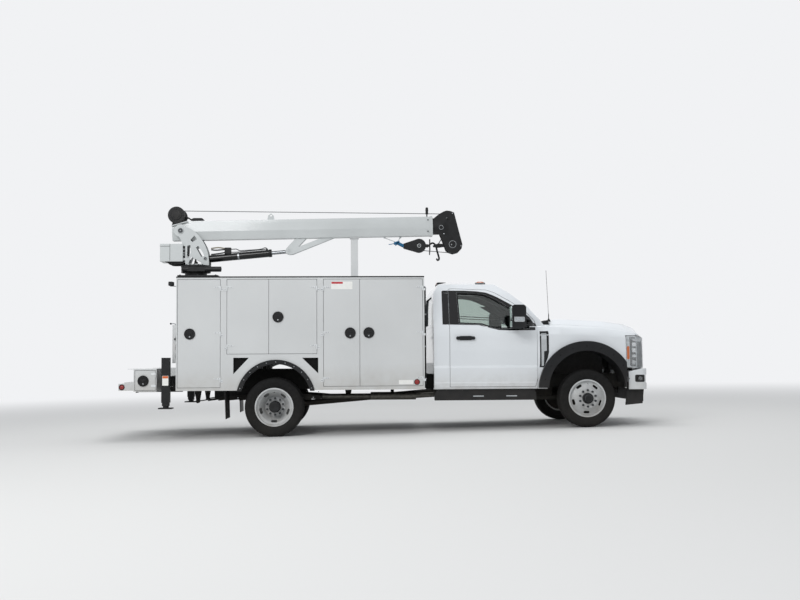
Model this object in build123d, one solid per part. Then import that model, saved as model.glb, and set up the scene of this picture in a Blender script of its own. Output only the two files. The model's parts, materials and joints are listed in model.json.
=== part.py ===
from build123d import *
import math
import os

# Crane service truck: a cab-chassis truck with twin rear wheels, a steel body of side compartments round an
# open deck, and a folding telescopic crane on the right rear corner, stowed forward on its rest.
# Millimetres. Everything is drawn with the frame level: X forward from the rear axle, Y to the left, Z up from
# the ground. At the end the whole truck leans nose down by RAKE on its springs, as it stands when parked, and
# moves so that the middle of its own box, on the ground, is the origin.

# Stance
WHEELBASE = 4293.0
RAKE = 1.11
RAKE_HEIGHT = 390.0

# Running gear
TYRE_RADIUS = 398.0
TYRE_WIDTH = 226.0
RIM_SEAT_RADIUS = 247.0
RIM_FLANGE_RADIUS = 260.0
RIM_WIDTH = 190.0
RIM_WALL = 10.0
FRONT_WHEEL_Y = 950.0
REAR_PAIR_Y = 940.0
PAIR_SPACING = 272.0
KINGPIN_Y = 860.0
KINGPIN_RADIUS = 16.0
YOKE_HALF = 40.0
YOKE_RISE = 126.0
LUG_COUNT = 10
LUG_CIRCLE = 112.5
LUG_RADIUS = 15.0
HAND_HOLES = 5
SLOT_CIRCLE = 192.0
SLOT_HALF = 17.0
SLOT_REACH = 24.0
PIN_CLEARANCE = 0.3
SEAT_GAP = 0.3
COIL_Y = -575.0
COIL_FOOT = 60.0
COIL_TURNS = 6
COIL_PITCH = 30.0
SPRING_TOP = 560.0
SPRING_DROP = 90.0
SPRING_FRONT = 1000.0
SPRING_REAR = 1110.0
SPRING_Y = -560.0
SPRING_WIDTH = 76.0
SPRING_EYE = 27.0
LEAVES = 6
LEAF_THICKNESS = 14.0
GEARBOX_Z = 640.0
TANK_REAR = -900.0
TANK_FRONT = -330.0
TANK_HALF_WIDTH = 350.0
TANK_BOTTOM = 480.0
EXHAUST_Y = -640.0
EXHAUST_Z = 523.0
PIPE_RADIUS = 36.0

# Frame
RAIL_Y = 434.0
RAIL_TOP = 815.0
RAIL_DEPTH = 195.0
RAIL_FLANGE = 64.0
RAIL_WALL = 8.0
CROSSMEMBERS = (-1250.0, -560.0, 620.0, 1500.0, 2350.0, 3050.0, 4880.0)
RAIL_FRONT = 4960.0
CROSSMEMBER_DEPTH = 67.0
TOW_EYE_RADIUS = 20.0
TOW_EYE_X = 5170.0
TOW_EYE_Z = 563.0

# Cab and front end
CAB_REAR = 2180.0
CAB_HALF_WIDTH = 1016.0
CAB_BOTTOM = 618.0
CAB_FLOOR = 850.0
BELT = 1480.0
DOOR_REAR = 2402.0
DOOR_FRONT = 3612.0
DOOR_BOTTOM = 651.0
DOOR_TOP = 2014.0
DOOR_WALL = 90.0
FRAME_WALL = 46.0
COWL_X = 3795.0
PILLAR_Y = 989.7
CAB_MOUNTS = (2300.0, 3460.0)
STEER_X = 3215.0
STEER_Y = 390.0
STEER_Z = 1370.0
STEER_TILT = 25.0
HOOD_HALF_WIDTH = 896.0
HOOD_BOTTOM = 1352.0
SKIN = 22.0
NOSE_X = 5187.0
BUMPER_X = 5258.0
PANEL_GAP = 5.0
GLASS = 6.0
FLARE_RADIUS = 668.0
ARCH_RADIUS = 533.0
ARCH_MARGIN = 10.0
LINER_INNER_Y = 650.0
LINER_WALL = 5.0
ARCH_X = 4290.0
ARCH_Z = 603.0
FLARE_Y = 1085.0
RADIATOR_HALF = 420.0
GRILLE_HALF = 632.0
GRILLE_BOTTOM = 905.0
GRILLE_TOP = 1296.0
GRILLE_FRAME = 34.0
GRILLE_BAR = 30.0
GRILLE_SLOTS = 4
LAMP_REAR = 4856.0
LAMP_BOTTOM = 893.0
LAMP_DEPTH = 60.0
GRILLE_DEPTH = 50.0
FOG_Z = 745.0

# Service body
BODY_REAR = -1312.0
BODY_FRONT = 2037.0
BODY_HALF_WIDTH = 1200.0
BODY_BOTTOM = 626.0
BODY_TOP = 2162.0
PACK_INNER_Y = 640.0
BODY_WALL = 26.0
BODY_DOOR = 38.0
OPENING_TOP = 2128.0
DECK_TOP = 987.0
DECK_SHEET = 12.0
SILL_TOP = 905.0
REAR_ARCH_X = 25.0
REAR_ARCH_Z = 503.0
REAR_ARCH_RADIUS = 474.0
REAR_ARCH_TRIM = 60.0
WELL_TOP = 1078.0
LATCH_RADIUS = 74.0
LATCH_PROUD = 12.0
HINGE_RADIUS = 7.0
HINGE_PROUD = 9.0
HINGE_LENGTH = 32.0

# Rear bumper, tailgate and outriggers
BAR_BOTTOM = 634.0
BAR_TOP = 727.0
BAR_DEPTH = 92.0
TAILGATE_X = -1387.0
TAILGATE_WALL = 67.0
TAILGATE_BOTTOM = 1000.0
TAILGATE_TOP = 1516.0
TAILGATE_HALF_WIDTH = 1030.0
TAILGATE_AXIS_X = TAILGATE_X - 8
TAILGATE_AXIS_Z = TAILGATE_BOTTOM - 8
TAILGATE_HINGES = (-620.0, 580.0)
BOX_REAR = -1881.0
BOX_FRONT = -1575.0
BOX_BOTTOM = 620.0
BOX_TOP = 920.0
BOX_OUTER_Y = 1150.0
BOX_INNER_Y = 690.0
BOX_WALL = 14.0
BOX_HINGES = (680.0, 840.0)
BUMPER_BAR_REAR = -2082.0
HOUSING_REAR = -1516.0
HOUSING_FRONT = -1387.0
HOUSING_BOTTOM = 690.0
HOUSING_TOP = 819.0
HOUSING_HALF_WIDTH = 1060.0
HOUSING_WALL = 9.0
LEG_SIZE = 107.0
LEG_OUTER_Y = HOUSING_HALF_WIDTH + 25 + LEG_SIZE
LEG_TOP = 1073.0
LEG_BOTTOM = 470.0
FOOT_BOTTOM = 386.0
HITCH_PIN_RADIUS = 8.2
HITCH_PIN_X = BUMPER_BAR_REAR + 75
HITCH_PIN_Z = 620.0
RECEIVER_HALF = 38.0
RECEIVER_BORE_HALF = 26.0
RECEIVER_COLLAR = 9.0
SLIDE_GAP = 0.4
BEAM_TRAVEL = 600.0
LEG_TRAVEL = 400.0

# Crane
SLEW_X = -1088.0
CRANE_Y = -920.0
SLEW_TOP = 2334.0
SLEW_FLANGE = 21.7
BOOM_PIN_X = -1283.0
BOOM_PIN_Z = 2807.0
BOOM_REST_ANGLE = 1.1
BOOM_PIN_RADIUS = 34.0
BOOM_TAIL = 120.0
BOOM_NOSE = 3457.0
COLLAR_LENGTH = 34.0
COLLAR_RISE = 6.0
REST_X = 1090.0
REST_HALF = 62.0
REST_GAP = 5.2
TIE_X = 1680.0
TIE_Z = 2655.0
# Sheaves of the boom's head: x, z, radius
SHEAVES = [(2385.0, 2984.0, 65.0), (2455.0, 2600.0, 88.0)]
BLOCK_X = 1988.0
BLOCK_Z = 2608.0
BLOCK_RADIUS = 97.0
BLOCK_SHEAVE = 56.0
WINCH_SEAT_REAR = -1410.0
WINCH_SEAT_FRONT = -1190.0
BOOM_TOP = 134.0
BOOM_CREASE = -16.0
BOOM_BOTTOM = -128.0
BOOM_TOP_HALF = 82.0
BOOM_CREASE_HALF = 100.0
BOOM_BOTTOM_HALF = 68.0
BOOM_WALL = 6.0
STAGE_GAP = 5.0
STAGE_TRAVEL = 1500.0
MAST_PLATE = 16.0
MAST_INNER = 108.0
LIFT_BASE_X = -945.0
LIFT_BASE_Z = 2425.0
LIFT_EYE_X = 185.0
LIFT_EYE_Z = 2531.0
BARREL_RADIUS = 50.0
BARREL_LENGTH = 900.0
ROD_RADIUS = 25.0
LIFT_PIN = 20.0
EYE_HALF = 30.0
WINCH_X = -1340.0
WINCH_Z = 3022.0
WINCH_RADIUS = 116.0
DRUM_RADIUS = 78.0
ROPE_RADIUS = 5.0

# Shapes drawn in one view


def block(x0, x1, y0, y1, z0, z1):
    centre = Pos((x0 + x1) / 2, (y0 + y1) / 2, (z0 + z1) / 2)
    return centre * Box(abs(x1 - x0), abs(y1 - y0), abs(z1 - z0))


def side_prism(points, y_from, y_to):
    """A prism of an outline seen from the side, as (x, z), between two widths."""
    face = Face(Wire.make_polygon([(x, y_from, z) for x, z in points], close=True))
    return Part() + Solid.extrude(face, Vector(0, y_to - y_from, 0))


def front_prism(points, x_from, x_to):
    """A prism of an outline seen from the front, as (y, z), between two lengths."""
    face = Face(Wire.make_polygon([(x_from, y, z) for y, z in points], close=True))
    return Part() + Solid.extrude(face, Vector(x_to - x_from, 0, 0))


def shaft_y(x, z, y0, y1, radius):
    return Pos(x, (y0 + y1) / 2, z) * Rot(90, 0, 0) * Cylinder(radius, abs(y1 - y0))


def shaft_x(y, z, x0, x1, radius):
    return Pos((x0 + x1) / 2, y, z) * Rot(0, 90, 0) * Cylinder(radius, abs(x1 - x0))


def shaft_z(x, y, z0, z1, radius):
    return Pos(x, y, (z0 + z1) / 2) * Cylinder(radius, abs(z1 - z0))


def strut(start, end, radius):
    """A round bar between two points."""
    run = Vector(*end) - Vector(*start)
    return Part() + Solid.make_cylinder(radius, run.length, Plane(origin=start, z_dir=run.normalized()))


def mirrored(shape):
    return Part() + shape.mirror(Plane.XZ).solids()


def pair(shape):
    """A shape on the right side with its twin on the left."""
    return Part() + [*shape.solids(), *shape.mirror(Plane.XZ).solids()]


def turned(profile, x, z):
    """A solid turned about the Y axis through (x, z), from an outline of (radius, y)."""
    face = Face(Wire.make_polygon([(radius, y, 0) for radius, y in profile], close=True))
    spun = Solid.revolve(face, 360, Axis((0, 0, 0), (0, 1, 0)))
    return Part() + spun.moved(Location((x, 0, z)))


def grounded(distance):
    """Where a hub that stands on the ground this far ahead of the rear hub lies in the level drawing."""
    angle = math.radians(RAKE)
    rise = TYRE_RADIUS - RAKE_HEIGHT
    x = distance * math.cos(angle) - rise * math.sin(angle)
    z = RAKE_HEIGHT + distance * math.sin(angle) + rise * math.cos(angle)
    return x, z


REAR_X, REAR_Z = grounded(0.0)
FRONT_X, FRONT_Z = grounded(WHEELBASE)

# Wheels


def tyre(centre_y, x, z):
    half = TYRE_WIDTH / 2
    bead_y = RIM_WIDTH / 2 - 12
    right = [
        (RIM_SEAT_RADIUS + PIN_CLEARANCE, bead_y - 0.5),
        (RIM_FLANGE_RADIUS + PIN_CLEARANCE, bead_y + 1.5),
        (RIM_FLANGE_RADIUS + PIN_CLEARANCE, RIM_WIDTH / 2),
        (RIM_FLANGE_RADIUS + 14, RIM_WIDTH / 2 + 6),
        (320, half),
        (350, half),
        (382, half - 14),
        (TYRE_RADIUS - 3, half - 34),
        (TYRE_RADIUS, half - 60),
    ]
    profile = right + [(radius, -y) for radius, y in reversed(right)]
    return turned([(radius, y + centre_y) for radius, y in profile], x, z)


def barrel(centre_y):
    """The outline of a wheel's rim, with its two flanges."""
    half = RIM_WIDTH / 2
    outer = [
        (RIM_FLANGE_RADIUS, -half),
        (RIM_FLANGE_RADIUS, 10 - half),
        (RIM_SEAT_RADIUS, 12 - half),
        (RIM_SEAT_RADIUS, half - 12),
        (RIM_FLANGE_RADIUS, half - 10),
        (RIM_FLANGE_RADIUS, half),
    ]
    inner = [
        (RIM_SEAT_RADIUS - RIM_WALL + 4, half),
        (RIM_SEAT_RADIUS - RIM_WALL, half - 20),
        (RIM_SEAT_RADIUS - RIM_WALL, 20 - half),
        (RIM_SEAT_RADIUS - RIM_WALL + 4, -half),
    ]
    return [(radius, y + centre_y) for radius, y in outer + inner]


def round_of(tool, count, x, z, start=0.0):
    """Copies of a tool spaced round a wheel's axle."""
    axle = Axis((x, 0, z), (0, 1, 0))
    return [tool.rotate(axle, start + 360.0 / count * index) for index in range(count)]


def disc(rim_y, hub_y, x, z):
    """A wheel disc, from the hub's face out to its weld inside the rim."""
    rise = hub_y - rim_y
    face = [
        (62, hub_y),
        (135, hub_y),
        (158, hub_y - 0.35 * rise),
        (205, rim_y + 0.12 * rise),
        (RIM_SEAT_RADIUS - RIM_WALL + 1, rim_y),
    ]
    back = [(radius, y + 12) for radius, y in reversed(face)]
    plate = turned(face + back, x, z)
    middle = (rim_y + hub_y) / 2
    slot = block(
        x + SLOT_CIRCLE - SLOT_HALF, x + SLOT_CIRCLE + SLOT_HALF, middle - 150, middle + 150, z - SLOT_REACH, z + SLOT_REACH
    )
    for end in (-SLOT_REACH, SLOT_REACH):
        slot += shaft_y(x + SLOT_CIRCLE, z + end, middle - 150, middle + 150, SLOT_HALF)
    for cut in round_of(slot, HAND_HOLES, x, z, 20):
        plate -= cut
    return plate


def lugs(y0, y1, x, z):
    lug = shaft_y(x + LUG_CIRCLE, z, y0, y1, LUG_RADIUS)
    return round_of(lug, LUG_COUNT, x, z, 18)


def front_rim():
    hub_y = -FRONT_WHEEL_Y - 118
    rim = turned(barrel(-FRONT_WHEEL_Y), FRONT_X, FRONT_Z)
    rim += disc(-FRONT_WHEEL_Y - 46, hub_y, FRONT_X, FRONT_Z)
    hub = [(40.4, hub_y + 128), (75, hub_y + 128), (75, hub_y), (72, hub_y - 40), (40.4, hub_y - 40)]
    rim += turned(hub, FRONT_X, FRONT_Z)
    cap = [(0.0, hub_y - 62), (46, hub_y - 62), (60, hub_y - 38), (0.0, hub_y - 38)]
    rim += turned(cap, FRONT_X, FRONT_Z)
    for lug in lugs(hub_y - 24, hub_y + 2, FRONT_X, FRONT_Z):
        rim += lug
    return rim


def rear_rims():
    outer_y = -REAR_PAIR_Y - PAIR_SPACING / 2
    inner_y = -REAR_PAIR_Y + PAIR_SPACING / 2
    seat_y = -REAR_PAIR_Y - 12
    rim = turned(barrel(outer_y), REAR_X, REAR_Z)
    rim += turned(barrel(inner_y), REAR_X, REAR_Z)
    rim += disc(outer_y - 30, seat_y, REAR_X, REAR_Z)
    inner_disc = [
        (62, seat_y + 12),
        (RIM_SEAT_RADIUS - RIM_WALL + 1, seat_y + 12),
        (RIM_SEAT_RADIUS - RIM_WALL + 1, seat_y + 28),
        (62, seat_y + 28),
    ]
    rim += turned(inner_disc, REAR_X, REAR_Z)
    barrel_half = RIM_WIDTH / 2
    spacer = [
        (RIM_SEAT_RADIUS - RIM_WALL - 1, outer_y + barrel_half - 2),
        (RIM_SEAT_RADIUS - RIM_WALL + 4, outer_y + barrel_half - 2),
        (RIM_SEAT_RADIUS - RIM_WALL + 4, inner_y - barrel_half + 2),
        (RIM_SEAT_RADIUS - RIM_WALL - 1, inner_y - barrel_half + 2),
    ]
    rim += turned(spacer, REAR_X, REAR_Z)
    hub = [
        (50.4, seat_y + 40),
        (80, seat_y + 40),
        (80, seat_y - 60),
        (70, seat_y - 130),
        (0.0, seat_y - 130),
        (0.0, seat_y - 60),
        (50.4, seat_y - 60),
    ]
    rim += turned(hub, REAR_X, REAR_Z)
    for lug in lugs(seat_y - 40, seat_y + 2, REAR_X, REAR_Z):
        rim += lug
    return rim


def knuckle():
    """The right steering knuckle, with its king pins, spindle and brake disc."""
    y = -KINGPIN_Y
    piece = shaft_z(FRONT_X, y, FRONT_Z - 83, FRONT_Z + 83, 42)
    piece += shaft_z(FRONT_X, y, FRONT_Z - 128, FRONT_Z + 128, KINGPIN_RADIUS)
    piece += shaft_y(FRONT_X, FRONT_Z, y - 20, -FRONT_WHEEL_Y - 150, 40)
    piece += shaft_y(FRONT_X, FRONT_Z, y - 62, y - 74, 190)
    piece += block(FRONT_X - 190, FRONT_X - 20, y - 18, y + 18, FRONT_Z - 70, FRONT_Z - 40)
    return piece


# Frame, axles and springs


def frame_rails():
    web = -RAIL_Y
    lip = RAIL_FLANGE - RAIL_Y
    low = RAIL_TOP - RAIL_DEPTH
    channel = [
        (web, low),
        (lip, low),
        (lip, low + RAIL_WALL),
        (web + RAIL_WALL, low + RAIL_WALL),
        (web + RAIL_WALL, RAIL_TOP - RAIL_WALL),
        (lip, RAIL_TOP - RAIL_WALL),
        (lip, RAIL_TOP),
        (web, RAIL_TOP),
    ]
    solids = [*pair(front_prism(channel, HOUSING_FRONT + SEAT_GAP, RAIL_FRONT)).solids()]
    inside = RAIL_Y - RAIL_WALL - SEAT_GAP
    top = RAIL_TOP - RAIL_WALL - SEAT_GAP
    low = top - CROSSMEMBER_DEPTH
    for x in CROSSMEMBERS:
        section = [
            (x - 35, low), (x - 35, top), (x + 35, top), (x + 35, low), (x + 27, low), (x + 27, top - 8),
            (x - 27, top - 8), (x - 27, low),
        ]
        solids.extend(side_prism(section, -inside, inside).solids())
    housing = block(
        HOUSING_REAR, HOUSING_FRONT, -HOUSING_HALF_WIDTH, HOUSING_HALF_WIDTH, HOUSING_BOTTOM, HOUSING_TOP
    )
    housing -= block(
        HOUSING_REAR + HOUSING_WALL,
        HOUSING_FRONT - HOUSING_WALL,
        -HOUSING_HALF_WIDTH - 1,
        HOUSING_HALF_WIDTH + 1,
        HOUSING_BOTTOM + HOUSING_WALL,
        HOUSING_TOP - HOUSING_WALL,
    )
    solids.extend(housing.solids())
    solids.extend(receiver().solids())
    hook = [(4860, 640), (4860, 740), (5000, 700), (5140, 600), (5215, 590), (5215, 525), (5120, 530)]
    tow_eye = side_prism(hook, -RAIL_Y - 24 - SEAT_GAP, -RAIL_Y - SEAT_GAP)
    tow_eye -= shaft_y(TOW_EYE_X, TOW_EYE_Z, -500, -400, TOW_EYE_RADIUS)
    solids.extend(pair(tow_eye).solids())
    return Part() + solids


def receiver():
    """The square socket of the hitch, hung under the outrigger's housing by its saddle."""
    rear = BUMPER_BAR_REAR + 10
    half = RECEIVER_HALF
    bore = RECEIVER_BORE_HALF
    tube = block(rear, HOUSING_FRONT - 20, -half, half, HITCH_PIN_Z - half, HITCH_PIN_Z + half)
    collar = half + RECEIVER_COLLAR
    tube += block(rear, rear + 22, -collar, collar, HITCH_PIN_Z - collar, HITCH_PIN_Z + collar)
    tube -= block(rear - 1, HOUSING_REAR - 40, -bore, bore, HITCH_PIN_Z - bore, HITCH_PIN_Z + bore)
    tube -= shaft_y(HITCH_PIN_X, HITCH_PIN_Z, -60, 60, HITCH_PIN_RADIUS)
    saddle = [
        (HOUSING_REAR, HOUSING_BOTTOM - SEAT_GAP),
        (HOUSING_FRONT - 20, HOUSING_BOTTOM - SEAT_GAP),
        (HOUSING_FRONT - 20, HITCH_PIN_Z),
        (HOUSING_REAR - 60, HITCH_PIN_Z),
    ]
    for side in (-1, 1):
        tube += side_prism(saddle, side * (half - 1), side * collar)
    return tube


def axles():
    front = shaft_y(FRONT_X, FRONT_Z, -800, 800, 44)
    front += Pos(FRONT_X, 230, FRONT_Z) * Sphere(135)
    half = YOKE_HALF
    yoke = block(
        FRONT_X - half, FRONT_X + half, -KINGPIN_Y, -KINGPIN_Y + 82, FRONT_Z - YOKE_RISE, FRONT_Z + YOKE_RISE
    )
    yoke += shaft_z(FRONT_X, -KINGPIN_Y, FRONT_Z - YOKE_RISE, FRONT_Z + YOKE_RISE, half)
    yoke -= block(FRONT_X - 60, FRONT_X + 60, -KINGPIN_Y - 60, -KINGPIN_Y + 60, FRONT_Z - 84, FRONT_Z + 84)
    pin_bore = KINGPIN_RADIUS + PIN_CLEARANCE
    yoke -= shaft_z(FRONT_X, -KINGPIN_Y, FRONT_Z - 200, FRONT_Z + 200, pin_bore)
    front += yoke
    front += mirrored(yoke)
    perch = block(FRONT_X - 46, FRONT_X + 46, COIL_Y - 46, COIL_Y + 46, FRONT_Z, FRONT_Z + COIL_FOOT)
    front += perch
    front += mirrored(perch)
    rear = shaft_y(REAR_X, REAR_Z, -700, 700, 62)
    rear += Pos(REAR_X, 0, REAR_Z) * Rot(0, 90, 0) * Cylinder(178, 190)
    rear += Pos(REAR_X + 190, 0, REAR_Z) * Rot(0, 90, 0) * Cone(110, 60, 240)
    hub_end = shaft_y(REAR_X, REAR_Z, -690, -760, 185)
    hub_end += shaft_y(REAR_X, REAR_Z, -690, -1008, 50)
    rear += pair(hub_end)
    return Part() + [*front.solids(), *rear.solids()]


def leaf(x0, x1, top, drop, thickness, y):
    """One spring leaf, an arc that is level over the axle and falls by drop at its far ends."""
    reach = max(abs(x0), abs(x1))
    z0 = top - drop * (x0 / reach) ** 2
    z1 = top - drop * (x1 / reach) ** 2
    upper = ThreePointArc((x0, y, z0), (0, y, top), (x1, y, z1))
    lower = ThreePointArc((x1, y, z1 - thickness), (0, y, top - thickness), (x0, y, z0 - thickness))
    outline = Wire([upper, Line(upper @ 1, lower @ 0), lower, Line(lower @ 1, upper @ 0)])
    return Part() + Solid.extrude(Face(outline), Vector(0, SPRING_WIDTH, 0))


def springs():
    """The leaf packs of the rear axle, and the coils and arms of the front one."""
    y = SPRING_Y
    pack = Part()
    for index in range(LEAVES):
        share = 1.0 - 0.13 * index
        fall = SPRING_DROP * share * share
        top = SPRING_TOP - LEAF_THICKNESS * index
        pack += leaf(-SPRING_REAR * share, SPRING_FRONT * share, top, fall, LEAF_THICKNESS + 0.2, y)
    pack += block(REAR_X - 55, REAR_X + 55, y - 8, y + 84, REAR_Z + 62, SPRING_TOP + 20)
    for x in (-SPRING_REAR, SPRING_FRONT):
        low = SPRING_TOP - SPRING_DROP * (x / SPRING_REAR) ** 2 - LEAF_THICKNESS / 2
        pack += shaft_y(x, low, y, y + SPRING_WIDTH, SPRING_EYE)
        hanger = [(x - 55, RAIL_TOP - 160), (x + 55, RAIL_TOP - 160), (x + 24, low), (x - 24, low)]
        pack += side_prism(hanger, y + SPRING_WIDTH / 2, y + SPRING_WIDTH)
        pack += block(x - 55, x + 55, y + SPRING_WIDTH / 2, -RAIL_Y, RAIL_TOP - 160, RAIL_TOP - 60)
    coil = Part()
    for index in range(COIL_TURNS):
        ring_z = FRONT_Z + COIL_FOOT + COIL_PITCH * index
        coil += shaft_z(FRONT_X, COIL_Y, ring_z, ring_z + COIL_PITCH / 2, 42)
        coil += shaft_z(FRONT_X, COIL_Y, ring_z + COIL_PITCH / 2, ring_z + COIL_PITCH, 30)
    seat_top = FRONT_Z + COIL_FOOT + COIL_PITCH * COIL_TURNS
    coil += block(FRONT_X - 60, FRONT_X + 60, COIL_Y - 40, -RAIL_Y, seat_top, seat_top + 14)
    arm = block(3420, FRONT_X - 46, COIL_Y - 24, COIL_Y + 24, FRONT_Z - 30, FRONT_Z + 24)
    arm += block(3390, 3450, COIL_Y - 24, -RAIL_Y, FRONT_Z - 30, RAIL_TOP - 80)
    return pair(pack + coil + arm)


def powertrain():
    engine = block(3980, 4680, -320, 320, 650, 1290)
    gearbox = shaft_x(0, GEARBOX_Z, 3560, 3980, 160) + shaft_x(0, GEARBOX_Z, 3160, 3570, 110)
    prop = strut((3170, 0, GEARBOX_Z), (REAR_X + 314, 0, REAR_Z + 4), 42)
    return engine + gearbox + prop


def fuel_tank():
    top = RAIL_TOP - RAIL_WALL - CROSSMEMBER_DEPTH - 2 * SEAT_GAP
    tank = block(TANK_REAR, TANK_FRONT, -TANK_HALF_WIDTH, TANK_HALF_WIDTH, TANK_BOTTOM, top)
    return Part() + fillet(tank.edges().filter_by(Axis.X), 60)


def exhaust():
    muffler = Pos(1629, EXHAUST_Y, EXHAUST_Z) * Box(630, 220, 106)
    muffler = Part() + fillet(muffler.edges().filter_by(Axis.X), 50)
    bend = (2600, -520, 555)
    pipe = strut(bend, (1940, EXHAUST_Y, EXHAUST_Z), PIPE_RADIUS)
    pipe += strut((3500, -330, 575), bend, PIPE_RADIUS) + Pos(*bend) * Sphere(PIPE_RADIUS)
    tail = shaft_x(EXHAUST_Y, EXHAUST_Z, 640, 1320, PIPE_RADIUS)
    hanger = block(1600, 1640, EXHAUST_Y, -RAIL_Y, EXHAUST_Z + 47, EXHAUST_Z + 127)
    return muffler + pipe + tail + hanger


# Cab

# Plan sections of the glasshouse: height, rear face, side of the screen, middle of the screen,
# half width at the back, half width at the screen
CAB_SECTIONS = [
    (1480, 2178, 3737, 3867, 985, 935),
    (1757, 2178, 3502, 3632, 905, 868),
    (1954, 2190, 3254, 3384, 838, 800),
    (2078, 2262, 3050, 3165, 770, 735),
]
ROOF_SECTION = (2126, 2420, 2860, 2940, 480, 460)

# Sections of the cab below the belt: height, half width
SIDE_SECTIONS = [
    (618, 990), (640, 1004), (698, 1013), (716, 1005), (834, 1010), (908, 1016), (941, 1004), (1330, 1011),
    (1430, 1000), (1480, 985),
]


def plan_outline(section, side_inset, front_inset, rear_inset):
    z, rear, side, middle, rear_half, side_half = section
    rear += rear_inset
    side -= front_inset
    middle -= front_inset
    rear_half -= side_inset
    side_half -= side_inset
    return Wire([
        Line((rear, -rear_half, z), (rear, rear_half, z)),
        Line((rear, rear_half, z), (side, side_half, z)),
        ThreePointArc((side, side_half, z), (middle, 0, z), (side, -side_half, z)),
        Line((side, -side_half, z), (rear, -rear_half, z)),
    ])


def glasshouse(side_inset, front_inset, rear_inset, roof_inset):
    rows = [*CAB_SECTIONS, ROOF_SECTION]
    wires = []
    for row in rows:
        lowered = (row[0] - (roof_inset if row[0] > 2000 else 0), *row[1:])
        wires.append(plan_outline(lowered, side_inset, front_inset, rear_inset))
    return Part() + Solid.make_loft(wires, ruled=True)


def lower_cab(side_inset, rear, front, bottom):
    """The cab below the belt, by front sections that swell and tuck in."""
    right = [(-half + side_inset, max(z, bottom)) for z, half in SIDE_SECTIONS]
    outline = right + [(-y, z) for y, z in reversed(right)]
    return front_prism(outline, rear, front)


# The door's outline seen from the side
DOOR_OUTLINE = [
    (DOOR_REAR, DOOR_BOTTOM),
    (DOOR_REAR, DOOR_TOP - 6),
    (DOOR_REAR + 60, DOOR_TOP),
    (2930, DOOR_TOP - 18),
    (3050, 1955),
    (3290, 1815),
    (3490, 1665),
    (3585, 1560),
    (DOOR_FRONT, 1480),
    (DOOR_FRONT, 760),
    (DOOR_FRONT - 30, DOOR_BOTTOM),
]
# The side window, up to the black frame round it
WINDOW_OUTLINE = [
    (2535, 1522),
    (2511, 1962),
    (2783, 1952),
    (2905, 1934),
    (3010, 1890),
    (3244, 1752),
    (3440, 1606),
    (3500, 1535),
    (3515, 1452),
    (3097, 1448),
    (2986, 1462),
    (2853, 1508),
]
SCREEN_OUTLINE = [(-770, 1610), (770, 1610), (655, 2040), (-655, 2040)]
BACKLIGHT_OUTLINE = [(-560, 1520), (560, 1520), (520, 1920), (-520, 1920)]


def cab_envelope():
    clip = block(2000, COWL_X, -1100, 1100, 500, 2300)
    return (glasshouse(0, 0, 0, 0) & clip) + lower_cab(0, CAB_REAR, DOOR_FRONT, CAB_BOTTOM)


def cab_hollow():
    upper = glasshouse(FRAME_WALL, FRAME_WALL, 50, 40) & block(2000, DOOR_FRONT - 40, -1100, 1100, 500, 2300)
    lower = lower_cab(DOOR_WALL, CAB_REAR + 50, DOOR_FRONT - 40, CAB_FLOOR)
    return upper + lower


def door_prism(gap):
    """The space that a right-hand door takes, larger by gap all round."""
    face = Face(Wire.make_polygon([(x, -700, z) for x, z in DOOR_OUTLINE], close=True))
    grown = offset(face, amount=gap, kind=Kind.INTERSECTION) if gap else face
    return Part() + Solid.extrude(grown.face(), Vector(0, -400, 0))


def cab_pieces():
    """The cab's shell, its right-hand door and the glass in both."""
    outer = cab_envelope()
    hollow = cab_hollow()
    shell = outer - hollow
    shell -= block(2000, 3700, -870, 870, 500, CAB_FLOOR - 30)
    door_room = block(DOOR_FRONT - 45, DOOR_FRONT + 20, -886, 886, 1470, 1650)
    door_room += lower_cab(DOOR_WALL, DOOR_REAR - 20, DOOR_FRONT + 20, CAB_BOTTOM)
    door = (shell & door_prism(0)) - door_room
    opening = door_prism(PANEL_GAP)
    shell = shell - opening - mirrored(opening) - front_envelope(0)
    shell += lower_cab(DOOR_WALL + PANEL_GAP, DOOR_FRONT - 40, DOOR_FRONT + PANEL_GAP, CAB_FLOOR - 30)
    for x in CAB_MOUNTS:
        pad = block(x, x + 90, -RAIL_Y, -RAIL_Y + 54, RAIL_TOP + SEAT_GAP, CAB_FLOOR - 30)
        shell = shell + pad + mirrored(pad)
    pillar = block(DOOR_FRONT + PANEL_GAP, 3700, -PILLAR_Y, -800, 640, 1100)
    shell = shell + pillar + mirrored(pillar)
    window = side_prism(WINDOW_OUTLINE, -700, -1100)
    glass_side = (glasshouse(18, 0, 0, 0) - glasshouse(18 + GLASS, 0, 0, 0)) & window
    door -= window
    screen_cut = front_prism(SCREEN_OUTLINE, 2900, 4000)
    screen = (glasshouse(0, 12, 0, 0) - glasshouse(0, 12 + GLASS, 0, 0)) & screen_cut
    backlight_cut = front_prism(BACKLIGHT_OUTLINE, 2000, 2300)
    backlight = (glasshouse(0, 0, 20, 0) - glasshouse(0, 0, 20 + GLASS, 0)) & backlight_cut
    shell = shell - screen_cut - backlight_cut
    shell += cowl()
    return shell, door, glass_side, screen, backlight


def cowl():
    """The panel between the screen and the hood, on the firewall."""
    rear = DOOR_FRONT + PANEL_GAP
    top = [(rear, 1440), (rear, 1500), (COWL_X, 1572), (COWL_X, 1440)]
    return side_prism(top, -HOOD_HALF_WIDTH + 20, HOOD_HALF_WIDTH - 20)


# Front end

# Front sections of the hood and wings: x, half width at the sill, half width at the shoulder, shoulder height,
# half width of the hood's crown, crown height
NOSE_SECTIONS = [
    (3616, 1012, 960, 1470, 800, 1560),
    (3960, 1014, 950, 1468, 780, 1582),
    (4560, 1014, 945, 1440, 760, 1553),
    (4880, 1012, 940, 1400, 740, 1509),
    (5030, 1000, 925, 1360, 700, 1456),
    (5140, 980, 900, 1290, 640, 1352),
    (5200, 960, 880, 1240, 600, 1300),
]


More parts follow.
